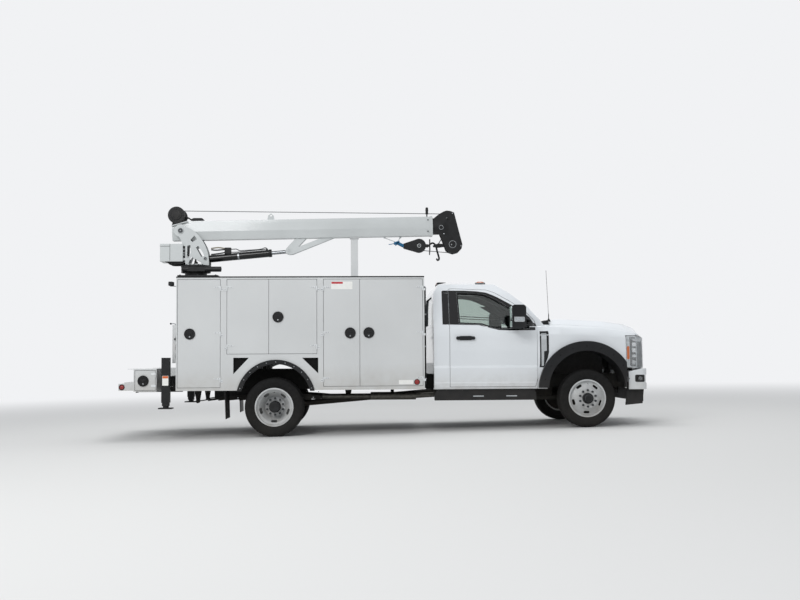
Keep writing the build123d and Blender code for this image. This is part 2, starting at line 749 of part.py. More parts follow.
def nose_outline(section, inset):
    x, sill, shoulder, shoulder_z, crown, crown_z = section
    half = [
        (sill - inset, CAB_BOTTOM),
        (sill + 2 - inset, 1000),
        (sill - 6 - inset, shoulder_z - 110),
        (shoulder - inset, shoulder_z - inset),
        (crown - inset, crown_z - inset),
    ]
    points = [(x, -y, z) for y, z in half] + [(x, y, z) for y, z in reversed(half)]
    return Wire.make_polygon(points, close=True)


def nose_plan(inset):
    """The front end's outline seen from above, with its swept corners."""
    wide = 1080
    corner = ThreePointArc((4853 - inset, -1030, 0), (5075 - inset, -930, 0), (NOSE_X - 57 - inset, -640, 0))
    front = ThreePointArc(
        (NOSE_X - 57 - inset, -640, 0), (NOSE_X - inset, 0, 0), (NOSE_X - 57 - inset, 640, 0)
    )
    other = ThreePointArc((NOSE_X - 57 - inset, 640, 0), (5075 - inset, 930, 0), (4853 - inset, 1030, 0))
    outline = Wire([
        Line((3000, -wide, 0), (4853 - inset, -wide, 0)),
        Line((4853 - inset, -wide, 0), (4853 - inset, -1030, 0)),
        corner,
        front,
        other,
        Line((4853 - inset, 1030, 0), (4853 - inset, wide, 0)),
        Line((4853 - inset, wide, 0), (3000, wide, 0)),
        Line((3000, wide, 0), (3000, -wide, 0)),
    ])
    return Part() + Solid.extrude(Face(outline), Vector(0, 0, 3000))


def front_envelope(inset):
    wires = [nose_outline(section, inset) for section in NOSE_SECTIONS]
    return (Part() + Solid.make_loft(wires, ruled=True)) & nose_plan(inset)


def front_pieces():
    """Wings, hood, grille and headlamps, cut from one envelope."""
    outer = front_envelope(0)
    skin = outer - front_envelope(SKIN)
    skin -= block(5210, 3000, -700, 700, 0, 600)
    hood_space = block(COWL_X + 8, 5300, -HOOD_HALF_WIDTH, HOOD_HALF_WIDTH, HOOD_BOTTOM, 2000)
    hood = skin & hood_space
    wide = HOOD_HALF_WIDTH + PANEL_GAP
    wings = skin - block(3000, 5300, -wide, wide, HOOD_BOTTOM - PANEL_GAP, 2000)
    wings -= block(LAMP_REAR - PANEL_GAP, 5300, -1100, 1100, 0, HOOD_BOTTOM - PANEL_GAP + 1)
    around = ARCH_RADIUS + ARCH_MARGIN
    arch = shaft_y(ARCH_X, ARCH_Z, -1200, 1200, around)
    below = block(ARCH_X - around, 5300, -1200, 1200, 500, ARCH_Z)
    wings = wings - arch - below
    wings -= block(5000, 5300, -1200, 1200, 0, 2000)
    lamp_body = (outer - front_envelope(LAMP_DEPTH)) & block(LAMP_REAR, 5300, -1100, -GRILLE_HALF - 4, LAMP_BOTTOM, 1343)
    grille_space = block(5050, 5300, -GRILLE_HALF, GRILLE_HALF, GRILLE_BOTTOM, GRILLE_TOP)
    grille = (nose_plan(0) - nose_plan(GRILLE_DEPTH)) & grille_space
    pitch = (GRILLE_TOP - GRILLE_BOTTOM - 2 * GRILLE_FRAME + GRILLE_BAR) / GRILLE_SLOTS
    for index in range(GRILLE_SLOTS):
        low = GRILLE_BOTTOM + GRILLE_FRAME + pitch * index
        grille -= block(5000, 5300, -GRILLE_HALF + 40, GRILLE_HALF - 40, low, low + pitch - GRILLE_BAR)
    return wings, hood, grille, lamp_body


def front_support():
    """The radiator support, the wings' inner walls and the hinge brackets that carry the front end."""
    support = block(4930, 4970, -860, 860, 860, 1300)
    support -= block(4900, 5000, -RADIATOR_HALF, RADIATOR_HALF, 900, 1250)
    support += block(4942, 4958, -RADIATOR_HALF - 1, RADIATOR_HALF + 1, 899, 1251)
    support += block(4880, 4970, -RAIL_Y, -RAIL_Y + 60, RAIL_TOP, 900)
    support += block(4880, 4970, RAIL_Y - 60, RAIL_Y, RAIL_TOP, 900)
    under_hood = shaft_z(4950, -500, 1290, 1600, 22) & front_envelope(SKIN + SEAT_GAP)
    to_grille = block(4960, 5300, -480, -440, 1000, 1040) & front_envelope(GRILLE_DEPTH + SEAT_GAP)
    to_lamp = block(4960, 5300, -740, -700, 1000, 1040) & front_envelope(LAMP_DEPTH + SEAT_GAP)
    to_wing = block(4810, LAMP_REAR - 6, -1200, -830, 1000, 1040) & front_envelope(SKIN + SEAT_GAP)
    to_wing += block(4810, 4940, -1200, -830, 1000, 1040) & front_envelope(LAMP_DEPTH + SEAT_GAP)
    for bracket in (under_hood, to_grille, to_lamp, to_wing):
        support = support + bracket + mirrored(bracket)
    return support


def front_bumper():
    def outline(inset):
        edge = BUMPER_X - 109 - inset
        return Wire([
            Line((4884, -1016 + inset, 0), (5060 - inset, -1016 + inset, 0)),
            ThreePointArc((5060 - inset, -1016 + inset, 0), (5125 - inset, -985 + inset, 0), (edge + 6, -900, 0)),
            ThreePointArc((edge + 6, -900, 0), (BUMPER_X - inset, 0, 0), (edge + 6, 900, 0)),
            ThreePointArc((edge + 6, 900, 0), (5125 - inset, 985 - inset, 0), (5060 - inset, 1016 - inset, 0)),
            Line((5060 - inset, 1016 - inset, 0), (4884, 1016 - inset, 0)),
            Line((4884, 1016 - inset, 0), (4884, -1016 + inset, 0)),
        ])

    def prism(inset):
        return Part() + Solid.extrude(Face(outline(inset)), Vector(0, 0, 1500))

    profile = side_prism([(4884, 600), (4884, 845), (5075, 888), (5300, 888), (5300, 640), (5240, 600)], -1200, 1200)
    shell = (prism(0) - prism(40)) & profile
    stay = block(RAIL_FRONT, 5205, -RAIL_Y, -RAIL_Y + 60, 680, 760)
    shell = shell + stay + mirrored(stay)
    pocket = block(5040, 5200, -985, -850, FOG_Z - 55, FOG_Z + 55)
    shell = shell - pocket - mirrored(pocket)
    return shell


def black_trim():
    """Black plastic on the chassis: wheel flares, sills, air dam, rear arch rims and mud flaps."""
    flare = shaft_y(ARCH_X, ARCH_Z, -FLARE_Y, -990, FLARE_RADIUS)
    flare -= shaft_y(ARCH_X, ARCH_Z, -1200, -900, ARCH_RADIUS)
    flare -= block(3500, 5300, -1200, -900, 0, CAB_BOTTOM + 12)
    flare -= front_envelope(0)
    flare -= block(LAMP_REAR - 12, 5300, -1200, -900, 0, 2000)
    flare = Part() + max(flare.solids(), key=lambda solid: solid.volume)
    rim = shaft_y(REAR_ARCH_X, REAR_ARCH_Z, -BODY_HALF_WIDTH - 22, -BODY_HALF_WIDTH, REAR_ARCH_RADIUS + REAR_ARCH_TRIM)
    rim -= shaft_y(REAR_ARCH_X, REAR_ARCH_Z, -BODY_HALF_WIDTH - 30, -BODY_HALF_WIDTH + 1, REAR_ARCH_RADIUS)
    rim -= block(-700, 700, -BODY_HALF_WIDTH - 30, -BODY_HALF_WIDTH + 1, -200, BODY_BOTTOM - 10)
    sill = side_prism(
        [(2190, 463), (2190, 560), (2230, CAB_BOTTOM), (3560, CAB_BOTTOM), (3600, 560), (3600, 463)], -960, -872
    )
    wall = well_span()[0] + SEAT_GAP
    flap = side_prism(
        [(wall + 14, 243), (wall, BODY_BOTTOM), (wall, 700), (wall + 9, 700), (wall + 9, BODY_BOTTOM), (wall + 23, 243)],
        -BODY_HALF_WIDTH + 20,
        -PACK_INNER_Y - 50,
    )
    dam = side_prism([(4866, 379), (5103, 401), (5125, 599.7), (4890, 599.7)], -900, -860)
    dam += block(5090, 5120, -880, 0, 430, 599.7)
    dam -= block(5000, 5300, -RAIL_Y - 30, -RAIL_Y + 6, 500, 700)
    skin = ARCH_RADIUS + ARCH_MARGIN - SEAT_GAP
    liner = shaft_y(ARCH_X, ARCH_Z, -1000, -LINER_INNER_Y, skin)
    liner -= shaft_y(ARCH_X, ARCH_Z, -1001, -LINER_INNER_Y + 1, skin - LINER_WALL)
    liner -= block(3000, COWL_X + 8, -1001, -LINER_INNER_Y + 1, 0, 2000)
    liner -= block(3000, 5300, -1001, -LINER_INNER_Y + 1, 0, ARCH_Z + 90)
    pieces = [flare, rim, sill, flap, liner]
    solids = []
    for piece in pieces:
        solids.extend(pair(piece).solids())
    solids.extend((dam + mirrored(dam)).solids())
    return Part() + solids


def cab_interior():
    """Bench, backrests and dashboard, standing on the cab's floor."""
    cushion = block(2560, 3060, -860, 860, 1010, 1150)
    stand = block(2600, 3000, -760, 760, CAB_FLOOR, 1010)
    back = side_prism([(2440, 1150), (2560, 1150), (2400, 1720), (2300, 1720)], -780, 780)
    seat = cushion + stand + back
    for y in (-STEER_Y, STEER_Y):
        rest = block(2300, 2385, y - 120, y + 120, 1714, 1880)
        seat += fillet(rest.edges().filter_by(Axis.X), 40)
    dash = side_prism(
        [(3350, 1230), (3420, 1400), (3560, 1432), (3571, 1432), (3571, 1060), (3440, 1060)], -880, 880
    )
    column = strut(along_column(15.3), along_column(225), 32)
    return Part() + [*seat.solids(), *(dash + column).solids()]


def along_column(distance):
    """A point of the steering column, this far from the middle of its wheel."""
    tilt = math.radians(STEER_TILT)
    return STEER_X + distance * math.cos(tilt), STEER_Y, STEER_Z - distance * math.sin(tilt)


def steering_wheel():
    ring = Torus(185, 15)
    hub = Cylinder(45, 30)
    spokes = Box(350, 30, 14)
    spokes += Pos(0, -90, 0) * Box(30, 180, 14)
    wheel = ring + hub + spokes
    return Pos(STEER_X, STEER_Y, STEER_Z) * Rot(0, -90 + STEER_TILT, 0) * Rot(0, 0, 90) * wheel


# Service body

# Compartments on one side: rear edge, front edge and bottom of the opening
COMPARTMENTS = [
    (-1296.0, -718.0, 664.0),
    (-636.0, 580.0, 1114.0),
    (664.0, 2017.0, 672.0),
]

# Doors on one side: name, rear edge, front edge, bottom, edge with the hinges, latch x, latch z, hinge heights
BODY_DOORS = [
    ("a", -1296.0, -718.0, 664.0, "front", -1129.0, 1389.0, (770.0, 1387.0, 2001.0)),
    ("b", -636.0, -71.0, 1114.0, "rear", None, None, (1213.0, 2001.0)),
    ("c", -71.0, 580.0, 1114.0, "front", 54.0, 1614.0, (1213.0, 2001.0)),
    ("d", 664.0, 1158.0, 672.0, "rear", 1028.0, 1394.0, (770.0, 1387.0, 2001.0)),
    ("e", 1158.0, 2017.0, 672.0, "front", 1280.0, 1396.0, (770.0, 1387.0, 2001.0)),
]


def hinge_axis_y():
    return BODY_HALF_WIDTH + HINGE_PROUD


def hinge_barrel(x, y, z0, z1):
    return shaft_z(x, y, z0, z1, HINGE_RADIUS)


def well_span():
    """The rear and front of the space round the rear wheels, between the compartments' walls."""
    half_post = (COMPARTMENTS[1][0] - COMPARTMENTS[0][1]) / 2
    return COMPARTMENTS[0][1] + half_post + BODY_WALL / 2, COMPARTMENTS[2][0] - half_post - BODY_WALL / 2


def side_pack():
    """The right-hand row of compartments, open where its doors close."""
    pack = block(BODY_REAR, BODY_FRONT, -BODY_HALF_WIDTH, -PACK_INNER_Y, BODY_BOTTOM, BODY_TOP)
    half_post = (COMPARTMENTS[1][0] - COMPARTMENTS[0][1]) / 2
    for index, (rear, front, bottom) in enumerate(COMPARTMENTS):
        pack -= block(rear, front, -BODY_HALF_WIDTH - 1, -BODY_HALF_WIDTH + 200, bottom, OPENING_TOP)
        room_rear = rear - (half_post - BODY_WALL / 2 if index else 0)
        room_front = front + (half_post - BODY_WALL / 2 if index < 2 else 0)
        pack -= block(
            room_rear, room_front, -BODY_HALF_WIDTH + BODY_DOOR + 4, -PACK_INNER_Y - BODY_WALL, bottom, OPENING_TOP
        )
    well_rear, well_front = well_span()
    pack -= block(well_rear, well_front, -BODY_HALF_WIDTH + 6, -500, 500, WELL_TOP)
    pack -= shaft_y(REAR_ARCH_X, REAR_ARCH_Z, -BODY_HALF_WIDTH - 1, -BODY_HALF_WIDTH + 100, REAR_ARCH_RADIUS)
    for points in (
        [(-545, 1067), (-336, 1067), (-545, 846)],
        [(377, 1062), (595, 1062), (595, 850)],
    ):
        pack -= side_prism(points, -BODY_HALF_WIDTH - 1, -BODY_HALF_WIDTH + 50)
    for name, rear, front, bottom, edge, latch_x, latch_z, heights in BODY_DOORS:
        x = rear if edge == "rear" else front
        inward = -1 if edge == "rear" else 1
        for z in heights:
            leaf_far = x + inward * 34
            pack += block(
                min(x, leaf_far), max(x, leaf_far), -BODY_HALF_WIDTH - 5, -BODY_HALF_WIDTH, z - HINGE_LENGTH, z - 1
            )
            pack += hinge_barrel(x, -hinge_axis_y(), z - HINGE_LENGTH, z - 0.3)
    return pack


def service_body():
    right = side_pack()
    body = right + mirrored(right)
    body += block(BODY_REAR, BODY_FRONT, -PACK_INNER_Y, PACK_INNER_Y, DECK_TOP - DECK_SHEET, DECK_TOP)
    for index in range(7):
        x = BODY_REAR + 60 + index * (BODY_FRONT - BODY_REAR - 120) / 6
        body += block(x - 22, x + 22, -PACK_INNER_Y, PACK_INNER_Y, SILL_TOP, DECK_TOP - DECK_SHEET)
    body += block(BODY_REAR, BODY_FRONT, -RAIL_Y, -RAIL_Y + 60, RAIL_TOP, SILL_TOP)
    body += block(BODY_REAR, BODY_FRONT, RAIL_Y - 60, RAIL_Y, RAIL_TOP, SILL_TOP)
    body += block(BODY_FRONT - 30, BODY_FRONT, -PACK_INNER_Y, PACK_INNER_Y, DECK_TOP, 1500)
    body += boom_rest()
    for y in TAILGATE_HINGES:
        body += block(TAILGATE_AXIS_X, BODY_REAR, y, y + 40, DECK_TOP - 35, TAILGATE_AXIS_Z)
        body += shaft_y(TAILGATE_AXIS_X, TAILGATE_AXIS_Z, y, y + 40, 9)
    return body


def boom_rest():
    rest_rear = REST_X - REST_HALF
    slope = math.radians(BOOM_REST_ANGLE)
    underside = BOOM_PIN_Z + (rest_rear - BOOM_PIN_X) * math.tan(slope) + BOOM_BOTTOM / math.cos(slope)
    top = underside - REST_GAP
    post = block(REST_X - 50, REST_X + 50, CRANE_Y - 50, CRANE_Y + 50, BODY_TOP, top - 12)
    post += block(rest_rear, REST_X + REST_HALF, CRANE_Y - 75, CRANE_Y + 75, top - 12, top)
    post += block(REST_X - 90, REST_X + 90, CRANE_Y - 90, CRANE_Y + 90, BODY_TOP, BODY_TOP + 10)
    return post


def body_door(rear, front, bottom, edge, latch_x, latch_z, heights):
    """A flush compartment door with its latch and the door's half of its hinges."""
    rear_gap = PANEL_GAP if rear in [row[0] for row in COMPARTMENTS] else PANEL_GAP / 2
    front_gap = PANEL_GAP if front in [row[1] for row in COMPARTMENTS] else PANEL_GAP / 2
    door = block(
        rear + rear_gap,
        front - front_gap,
        -BODY_HALF_WIDTH,
        -BODY_HALF_WIDTH + BODY_DOOR,
        bottom + PANEL_GAP,
        OPENING_TOP - PANEL_GAP,
    )
    x = rear if edge == "rear" else front
    onto = 1 if edge == "rear" else -1
    for z in heights:
        near = x + onto * 1
        far = x + onto * 92
        door += side_prism(
            [(near, z + HINGE_LENGTH), (near, z + 1), (far, z + 12), (far, z + HINGE_LENGTH - 12)],
            -BODY_HALF_WIDTH - 5,
            -BODY_HALF_WIDTH,
        )
        door += hinge_barrel(x, -hinge_axis_y(), z + 0.3, z + HINGE_LENGTH)
    if latch_x is not None:
        dish = shaft_y(latch_x, latch_z, -BODY_HALF_WIDTH - LATCH_PROUD, -BODY_HALF_WIDTH, LATCH_RADIUS)
        dish -= block(
            latch_x - 45, latch_x + 45, -BODY_HALF_WIDTH - LATCH_PROUD - 1, -BODY_HALF_WIDTH - 4, latch_z - 30, latch_z + 30
        )
        door += dish
    return door


def tailgate():
    gate = block(
        TAILGATE_X, TAILGATE_X + TAILGATE_WALL, -TAILGATE_HALF_WIDTH, TAILGATE_HALF_WIDTH, TAILGATE_BOTTOM, TAILGATE_TOP
    )
    gate -= block(TAILGATE_X - 1, TAILGATE_X + 25, -900, 900, TAILGATE_BOTTOM + 90, TAILGATE_TOP - 90)
    for y in TAILGATE_HINGES:
        knuckle_y = y + 40 + PIN_CLEARANCE
        gate += shaft_y(TAILGATE_AXIS_X, TAILGATE_AXIS_Z, knuckle_y, knuckle_y + 40, 9)
        gate += block(
            TAILGATE_AXIS_X, TAILGATE_X + 20, knuckle_y, knuckle_y + 40, TAILGATE_AXIS_Z, TAILGATE_BOTTOM + 10
        )
    return gate


def rear_bumper():
    box = block(BOX_REAR, BOX_FRONT, -BOX_OUTER_Y, -BOX_INNER_Y, BOX_BOTTOM, BOX_TOP)
    box -= block(
        BOX_REAR + BOX_WALL,
        BOX_FRONT - BOX_WALL,
        -BOX_OUTER_Y - 1,
        -BOX_INNER_Y - BOX_WALL,
        BOX_BOTTOM + BOX_WALL,
        BOX_TOP - BOX_WALL,
    )
    box += block(BOX_REAR - 80, BOX_FRONT, -BOX_OUTER_Y, -BOX_INNER_Y, BOX_TOP, BOX_TOP + 6)
    box += block(BUMPER_BAR_REAR, BUMPER_BAR_REAR + BAR_DEPTH, -BOX_OUTER_Y, 0, BAR_BOTTOM, BAR_TOP)
    notch = RECEIVER_HALF + RECEIVER_COLLAR + 5
    box -= block(BUMPER_BAR_REAR - 1, BUMPER_BAR_REAR + BAR_DEPTH + 1, -notch, 1, BAR_BOTTOM - 1, HITCH_PIN_Z + notch)
    for y in (-BOX_OUTER_Y, -BOX_INNER_Y - 70):
        box += block(BUMPER_BAR_REAR + BAR_DEPTH, BOX_REAR, y, y + 70, BAR_BOTTOM, BAR_TOP)
    box += block(BUMPER_BAR_REAR + 77, BOX_REAR, -BOX_OUTER_Y, 0, BAR_TOP, BAR_TOP + 18)
    box += block(BOX_REAR - 1, BOX_FRONT - 99, -BOX_INNER_Y - 1, 0, BAR_TOP, BAR_TOP + 18)
    box += block(BOX_FRONT - 100, BOX_FRONT, -BOX_INNER_Y, 0, 700, 780)
    box += block(BOX_FRONT, HOUSING_REAR, -RAIL_Y, -RAIL_Y + 64, 700, 780)
    hinge_x = BOX_FRONT - BOX_WALL
    for z in BOX_HINGES:
        box += block(hinge_x, hinge_x + 12, -BOX_OUTER_Y - 5, -BOX_OUTER_Y, z - HINGE_LENGTH, z - 1)
        box += hinge_barrel(hinge_x, -BOX_OUTER_Y - HINGE_PROUD, z - HINGE_LENGTH, z - 0.3)
    return box + mirrored(box)


def box_door():
    x0 = BOX_REAR + BOX_WALL
    x1 = BOX_FRONT - BOX_WALL
    door = block(
        x0 + PANEL_GAP,
        x1 - PANEL_GAP,
        -BOX_OUTER_Y,
        -BOX_OUTER_Y + 25,
        BOX_BOTTOM + BOX_WALL + PANEL_GAP,
        BOX_TOP - BOX_WALL - PANEL_GAP,
    )
    for z in BOX_HINGES:
        door += block(x1 - 60, x1 - 1, -BOX_OUTER_Y - 5, -BOX_OUTER_Y, z + 1, z + HINGE_LENGTH)
        door += hinge_barrel(x1, -BOX_OUTER_Y - HINGE_PROUD, z + 0.3, z + HINGE_LENGTH)
    latch_x = (BOX_REAR + BOX_FRONT) / 2 - 25
    dish = shaft_y(latch_x, 762, -BOX_OUTER_Y - LATCH_PROUD, -BOX_OUTER_Y, LATCH_RADIUS)
    dish -= block(latch_x - 45, latch_x + 45, -BOX_OUTER_Y - LATCH_PROUD - 1, -BOX_OUTER_Y - 4, 732, 792)
    return door + dish


def outrigger_beam():
    """The sliding beam on the right, with the tube that guides its leg."""
    gap = HOUSING_WALL + SLIDE_GAP
    beam = block(
        HOUSING_REAR + gap, HOUSING_FRONT - gap, -LEG_OUTER_Y + LEG_SIZE, -20, HOUSING_BOTTOM + gap, HOUSING_TOP - gap
    )
    beam -= block(
        HOUSING_REAR + gap + 8,
        HOUSING_FRONT - gap - 8,
        -LEG_OUTER_Y + LEG_SIZE + 8,
        -10,
        HOUSING_BOTTOM + gap + 8,
        HOUSING_TOP - gap - 8,
    )
    middle = (HOUSING_REAR + HOUSING_FRONT) / 2
    half = LEG_SIZE / 2
    beam += block(middle - half, middle + half, -LEG_OUTER_Y, -LEG_OUTER_Y + LEG_SIZE, LEG_BOTTOM, LEG_TOP)
    bore = half - 8
    beam -= block(
        middle - bore, middle + bore, -LEG_OUTER_Y + 8, -LEG_OUTER_Y + LEG_SIZE - 8, LEG_BOTTOM - 1, LEG_TOP - 10
    )
    return beam


def jack_leg():
    middle = (HOUSING_REAR + HOUSING_FRONT) / 2
    centre_y = -LEG_OUTER_Y + LEG_SIZE / 2
    half = LEG_SIZE / 2 - 8 - SLIDE_GAP
    leg = block(middle - half, middle + half, centre_y - half, centre_y + half, FOOT_BOTTOM + 40, LEG_TOP - 40)
    leg += shaft_z(middle, centre_y, FOOT_BOTTOM + 16, FOOT_BOTTOM + 42, 40)
    leg += block(middle - 90, middle + 90, centre_y - 90, centre_y + 90, FOOT_BOTTOM, FOOT_BOTTOM + 16)
    return leg


# Crane


def slew_base():
    base = block(-1300, -757, CRANE_Y - 270, CRANE_Y + 270, BODY_TOP, BODY_TOP + 24)
    base += shaft_z(SLEW_X, CRANE_Y, BODY_TOP + 24, 2240, 150)
    base += shaft_z(SLEW_X, CRANE_Y, 2236, SLEW_TOP - SLEW_FLANGE - 0.3, 200)
    base += shaft_x(CRANE_Y - 190, 2272, SLEW_X - 60, -734, 36)
    base += block(SLEW_X - 90, SLEW_X + 150, CRANE_Y - 226, CRANE_Y - 120, 2242, 2304)
    return base


def mast():
    """The slewing column: two trussed side plates, their feet and the control box behind."""
    outer = CRANE_Y - MAST_INNER - MAST_PLATE
    foot = SLEW_TOP - 2
    corners = [(-1110, 2812), (-1200, 2862), (-1371, 2807), (-1290, 2702), (-1258, 2625), (-1235, 2500), (-1211, foot)]
    corners = [(x, outer, z) for x, z in corners]
    bow = ThreePointArc((-897, outer, foot), (-932, outer, 2560), corners[0])
    edges = [Line(a, b) for a, b in zip(corners, corners[1:])]
    outline = Wire([bow, *edges, Line(corners[-1], bow @ 0)])
    plate = Part() + Solid.extrude(Face(outline), Vector(0, MAST_PLATE, 0))
    plate += shaft_y(BOOM_PIN_X, BOOM_PIN_Z, CRANE_Y - MAST_INNER - MAST_PLATE, CRANE_Y - MAST_INNER, 88)
    holes = [
        [(-1176, 2352), (-1140, 2450), (-1000, 2372), (-1000, 2352)],
        [(-1074, 2576), (-1046, 2600), (-984, 2512), (-960, 2460), (-1002, 2446)],
        [(-1150, 2680), (-1095, 2740), (-1060, 2690), (-1120, 2650)],
        [(-1190, 2600), (-1150, 2610), (-1144, 2500), (-1176, 2430), (-1196, 2440)],
    ]
    for hole in holes:
        plate -= side_prism(hole, CRANE_Y - 200, CRANE_Y - 50)
    across = 2 * CRANE_Y
    twin = plate.mirror(Plane.XZ).moved(Location((0, across, 0)))
    column = plate + (Part() + twin.solids())
    column += shaft_z(SLEW_X, CRANE_Y, SLEW_TOP - SLEW_FLANGE, SLEW_TOP, 205)
    column += shaft_y(LIFT_BASE_X, LIFT_BASE_Z, CRANE_Y - 130, CRANE_Y + 130, LIFT_PIN)
    reach = MAST_INNER + MAST_PLATE
    column += shaft_y(BOOM_PIN_X, BOOM_PIN_Z, CRANE_Y - reach - 8, CRANE_Y + reach + 8, BOOM_PIN_RADIUS)
    column += block(-1212, -1196, CRANE_Y - MAST_INNER, CRANE_Y + MAST_INNER, SLEW_TOP - 2, 2470)
    column += block(-1555, -1248, CRANE_Y - 150, CRANE_Y + 150, 2383, 2624)
    for y in (CRANE_Y - reach, CRANE_Y + MAST_INNER):
        column += block(-1260, -1200, y, y + MAST_PLATE, 2400, 2600)
    return column


def boom_profile(inset):
    """The boom's six-sided section, inset by some way, as (y, z)."""
    points = [
        (-BOOM_TOP_HALF, BOOM_TOP),
        (-BOOM_CREASE_HALF, BOOM_CREASE),
        (-BOOM_BOTTOM_HALF, BOOM_BOTTOM),
        (BOOM_BOTTOM_HALF, BOOM_BOTTOM),
        (BOOM_CREASE_HALF, BOOM_CREASE),
        (BOOM_TOP_HALF, BOOM_TOP),
    ]
    face = Face(Wire.make_polygon([(0, y, z) for y, z in points], close=True))
    if inset:
        face = offset(face, amount=-inset, kind=Kind.INTERSECTION).face()
    return face


def boom_bar(inset, x0, x1):
    face = boom_profile(inset)
    bar = Part() + Solid.extrude(face, Vector(x1 - x0, 0, 0))
    return bar.moved(Location((x0, 0, 0)))


def boom_tube(inset, wall, x0, x1):
    return boom_bar(inset, x0, x1) - boom_bar(inset + wall, x0 - 1, x1 + 1)


def on_boom(x, z):
    """A point of the stowed crane, as the boom's own (x, z) from its pin."""
    angle = math.radians(BOOM_REST_ANGLE)
    dx = x - BOOM_PIN_X
    dz = z - BOOM_PIN_Z
    return dx * math.cos(angle) + dz * math.sin(angle), dz * math.cos(angle) - dx * math.sin(angle)


def stowed(shape):
    """Moves a piece drawn along the boom to its place on the stowed crane."""
    placed = Pos(BOOM_PIN_X, CRANE_Y, BOOM_PIN_Z) * Rot(0, -BOOM_REST_ANGLE, 0)
    return Part() + [placed * solid for solid in shape.solids()]


def outline_on_boom(points):
    return [on_boom(x, z) for x, z in points]


def winch_seat(x):
    """Height of the top of the tilted plate that carries the winch."""
    return 2880 + (x + 1410) * 62 / 220


def boom_outer():
    tube = boom_bar(0, -BOOM_TAIL, BOOM_NOSE)
    tube += boom_bar(-COLLAR_RISE, BOOM_NOSE - COLLAR_LENGTH, BOOM_NOSE)
    low = on_boom(WINCH_SEAT_REAR, winch_seat(WINCH_SEAT_REAR))
    high = on_boom(WINCH_SEAT_FRONT, winch_seat(WINCH_SEAT_FRONT))
    tube -= side_prism([low, high, (high[0], 300), (low[0], 300)], -200, 200)
    plate = [low, high, (high[0] + 3, high[1] - 12), (low[0] + 3, low[1] - 12)]
    tube += side_prism(plate, -122, 122)
    eye = side_prism(outline_on_boom([(-118, 2950), (-100, 3030), (-61, 3062), (-25, 3030), (-8, 2950)]), -10, 10)
    eye_x, eye_z = on_boom(-61, 3030)
    tube += eye - shaft_y(eye_x, eye_z, -40, 40, 14)
    gusset = outline_on_boom([
        (155, 2574), (310, 2745), (899, 2765), (899, 2752), (242, 2488), (200, 2484), (150, 2500), (138, 2540),
    ])
    hole = outline_on_boom([(317, 2592), (440, 2722), (650, 2722)])
    inner = EYE_HALF + SLIDE_GAP
    for side in (-1, 1):
        cheek = side_prism(gusset, side * inner, side * (inner + 16))
        tube += cheek - side_prism(hole, side * (inner - 5), side * (inner + 25))
    tie_x, tie_z = on_boom(TIE_X, TIE_Z)
    loop_rear = on_boom(1566, tie_z)[0]
    loop_front = on_boom(1786, tie_z)[0]
    sling = Part()
    for x in (loop_rear, loop_front):
        sling += strut((x, 0, BOOM_BOTTOM - 14), (tie_x, 0, tie_z), 5)
        sling += block(x - 14, x + 14, -9, 9, BOOM_BOTTOM - 20, BOOM_BOTTOM - SEAT_GAP)
    tube -= boom_bar(BOOM_WALL, -BOOM_TAIL + BOOM_WALL, BOOM_NOSE + 1) - side_prism(
        [(low[0] - 5, low[1] - 12), (high[0] + 9, high[1] - 10), (high[0] + 9, 300), (low[0] - 5, 300)], -200, 200
    )
    tube -= shaft_y(0, 0, -200, 200, BOOM_PIN_RADIUS + PIN_CLEARANCE)
    return stowed(Part() + [*tube.solids(), *sling.solids()])


def boom_middle():
    inset = BOOM_WALL + STAGE_GAP
    tube = boom_tube(inset, BOOM_WALL, 250, BOOM_NOSE + 5)
    tube += boom_tube(BOOM_WALL + SLIDE_GAP, STAGE_GAP - SLIDE_GAP + BOOM_WALL, 250, 300)
    return stowed(tube)


def boom_inner():
    """The inner stage, with the sheave head welded on its nose."""
    inset = 2 * (BOOM_WALL + STAGE_GAP)
    tube = boom_tube(inset, BOOM_WALL, 500, 3600)
    tube += boom_tube(inset - STAGE_GAP + SLIDE_GAP, STAGE_GAP - SLIDE_GAP + BOOM_WALL, 500, 550)
    head = outline_on_boom([
        (2196, 2990), (2271, 3047), (2330, 3080), (2371, 3093), (2420, 3088), (2475, 3066), (2588, 2620),
        (2575, 2560), (2530, 2512), (2460, 2493), (2400, 2512), (2362, 2541), (2305, 2697), (2270, 2780),
        (2196, 2780),
    ])
    for side in (-1, 1):
        tube += side_prism(head, side * 62, side * 74)
    for x, z, radius in SHEAVES:
        at_x, at_z = on_boom(x, z)
        tube += shaft_y(at_x, at_z, -24, 24, radius)
        tube += shaft_y(at_x, at_z, -86, 86, 18)
    stop_x, stop_z = on_boom(2240, 2880)
    tube += block(stop_x - 44, stop_x + 20, -62, 62, stop_z - 80, stop_z + 100)
    return stowed(tube)


def winch():
    x, z = on_boom(WINCH_X, WINCH_Z)
    unit = Part()
    for side in (-1, 1):
        unit += shaft_y(x, z, side * 92, side * 130, WINCH_RADIUS)
        unit += shaft_y(x, z, side * 80, side * 92, WINCH_RADIUS - 8)
    unit += shaft_y(x, z, -100, 100, DRUM_RADIUS - 14)
    foot = outline_on_boom([
        (-1402, winch_seat(-1402)), (-1385, 2960), (-1290, 2985), (-1215, winch_seat(-1215)),
    ])
    for side in (-1, 1):
        unit += side_prism(foot, side * 92, side * 118)
    return stowed(unit)


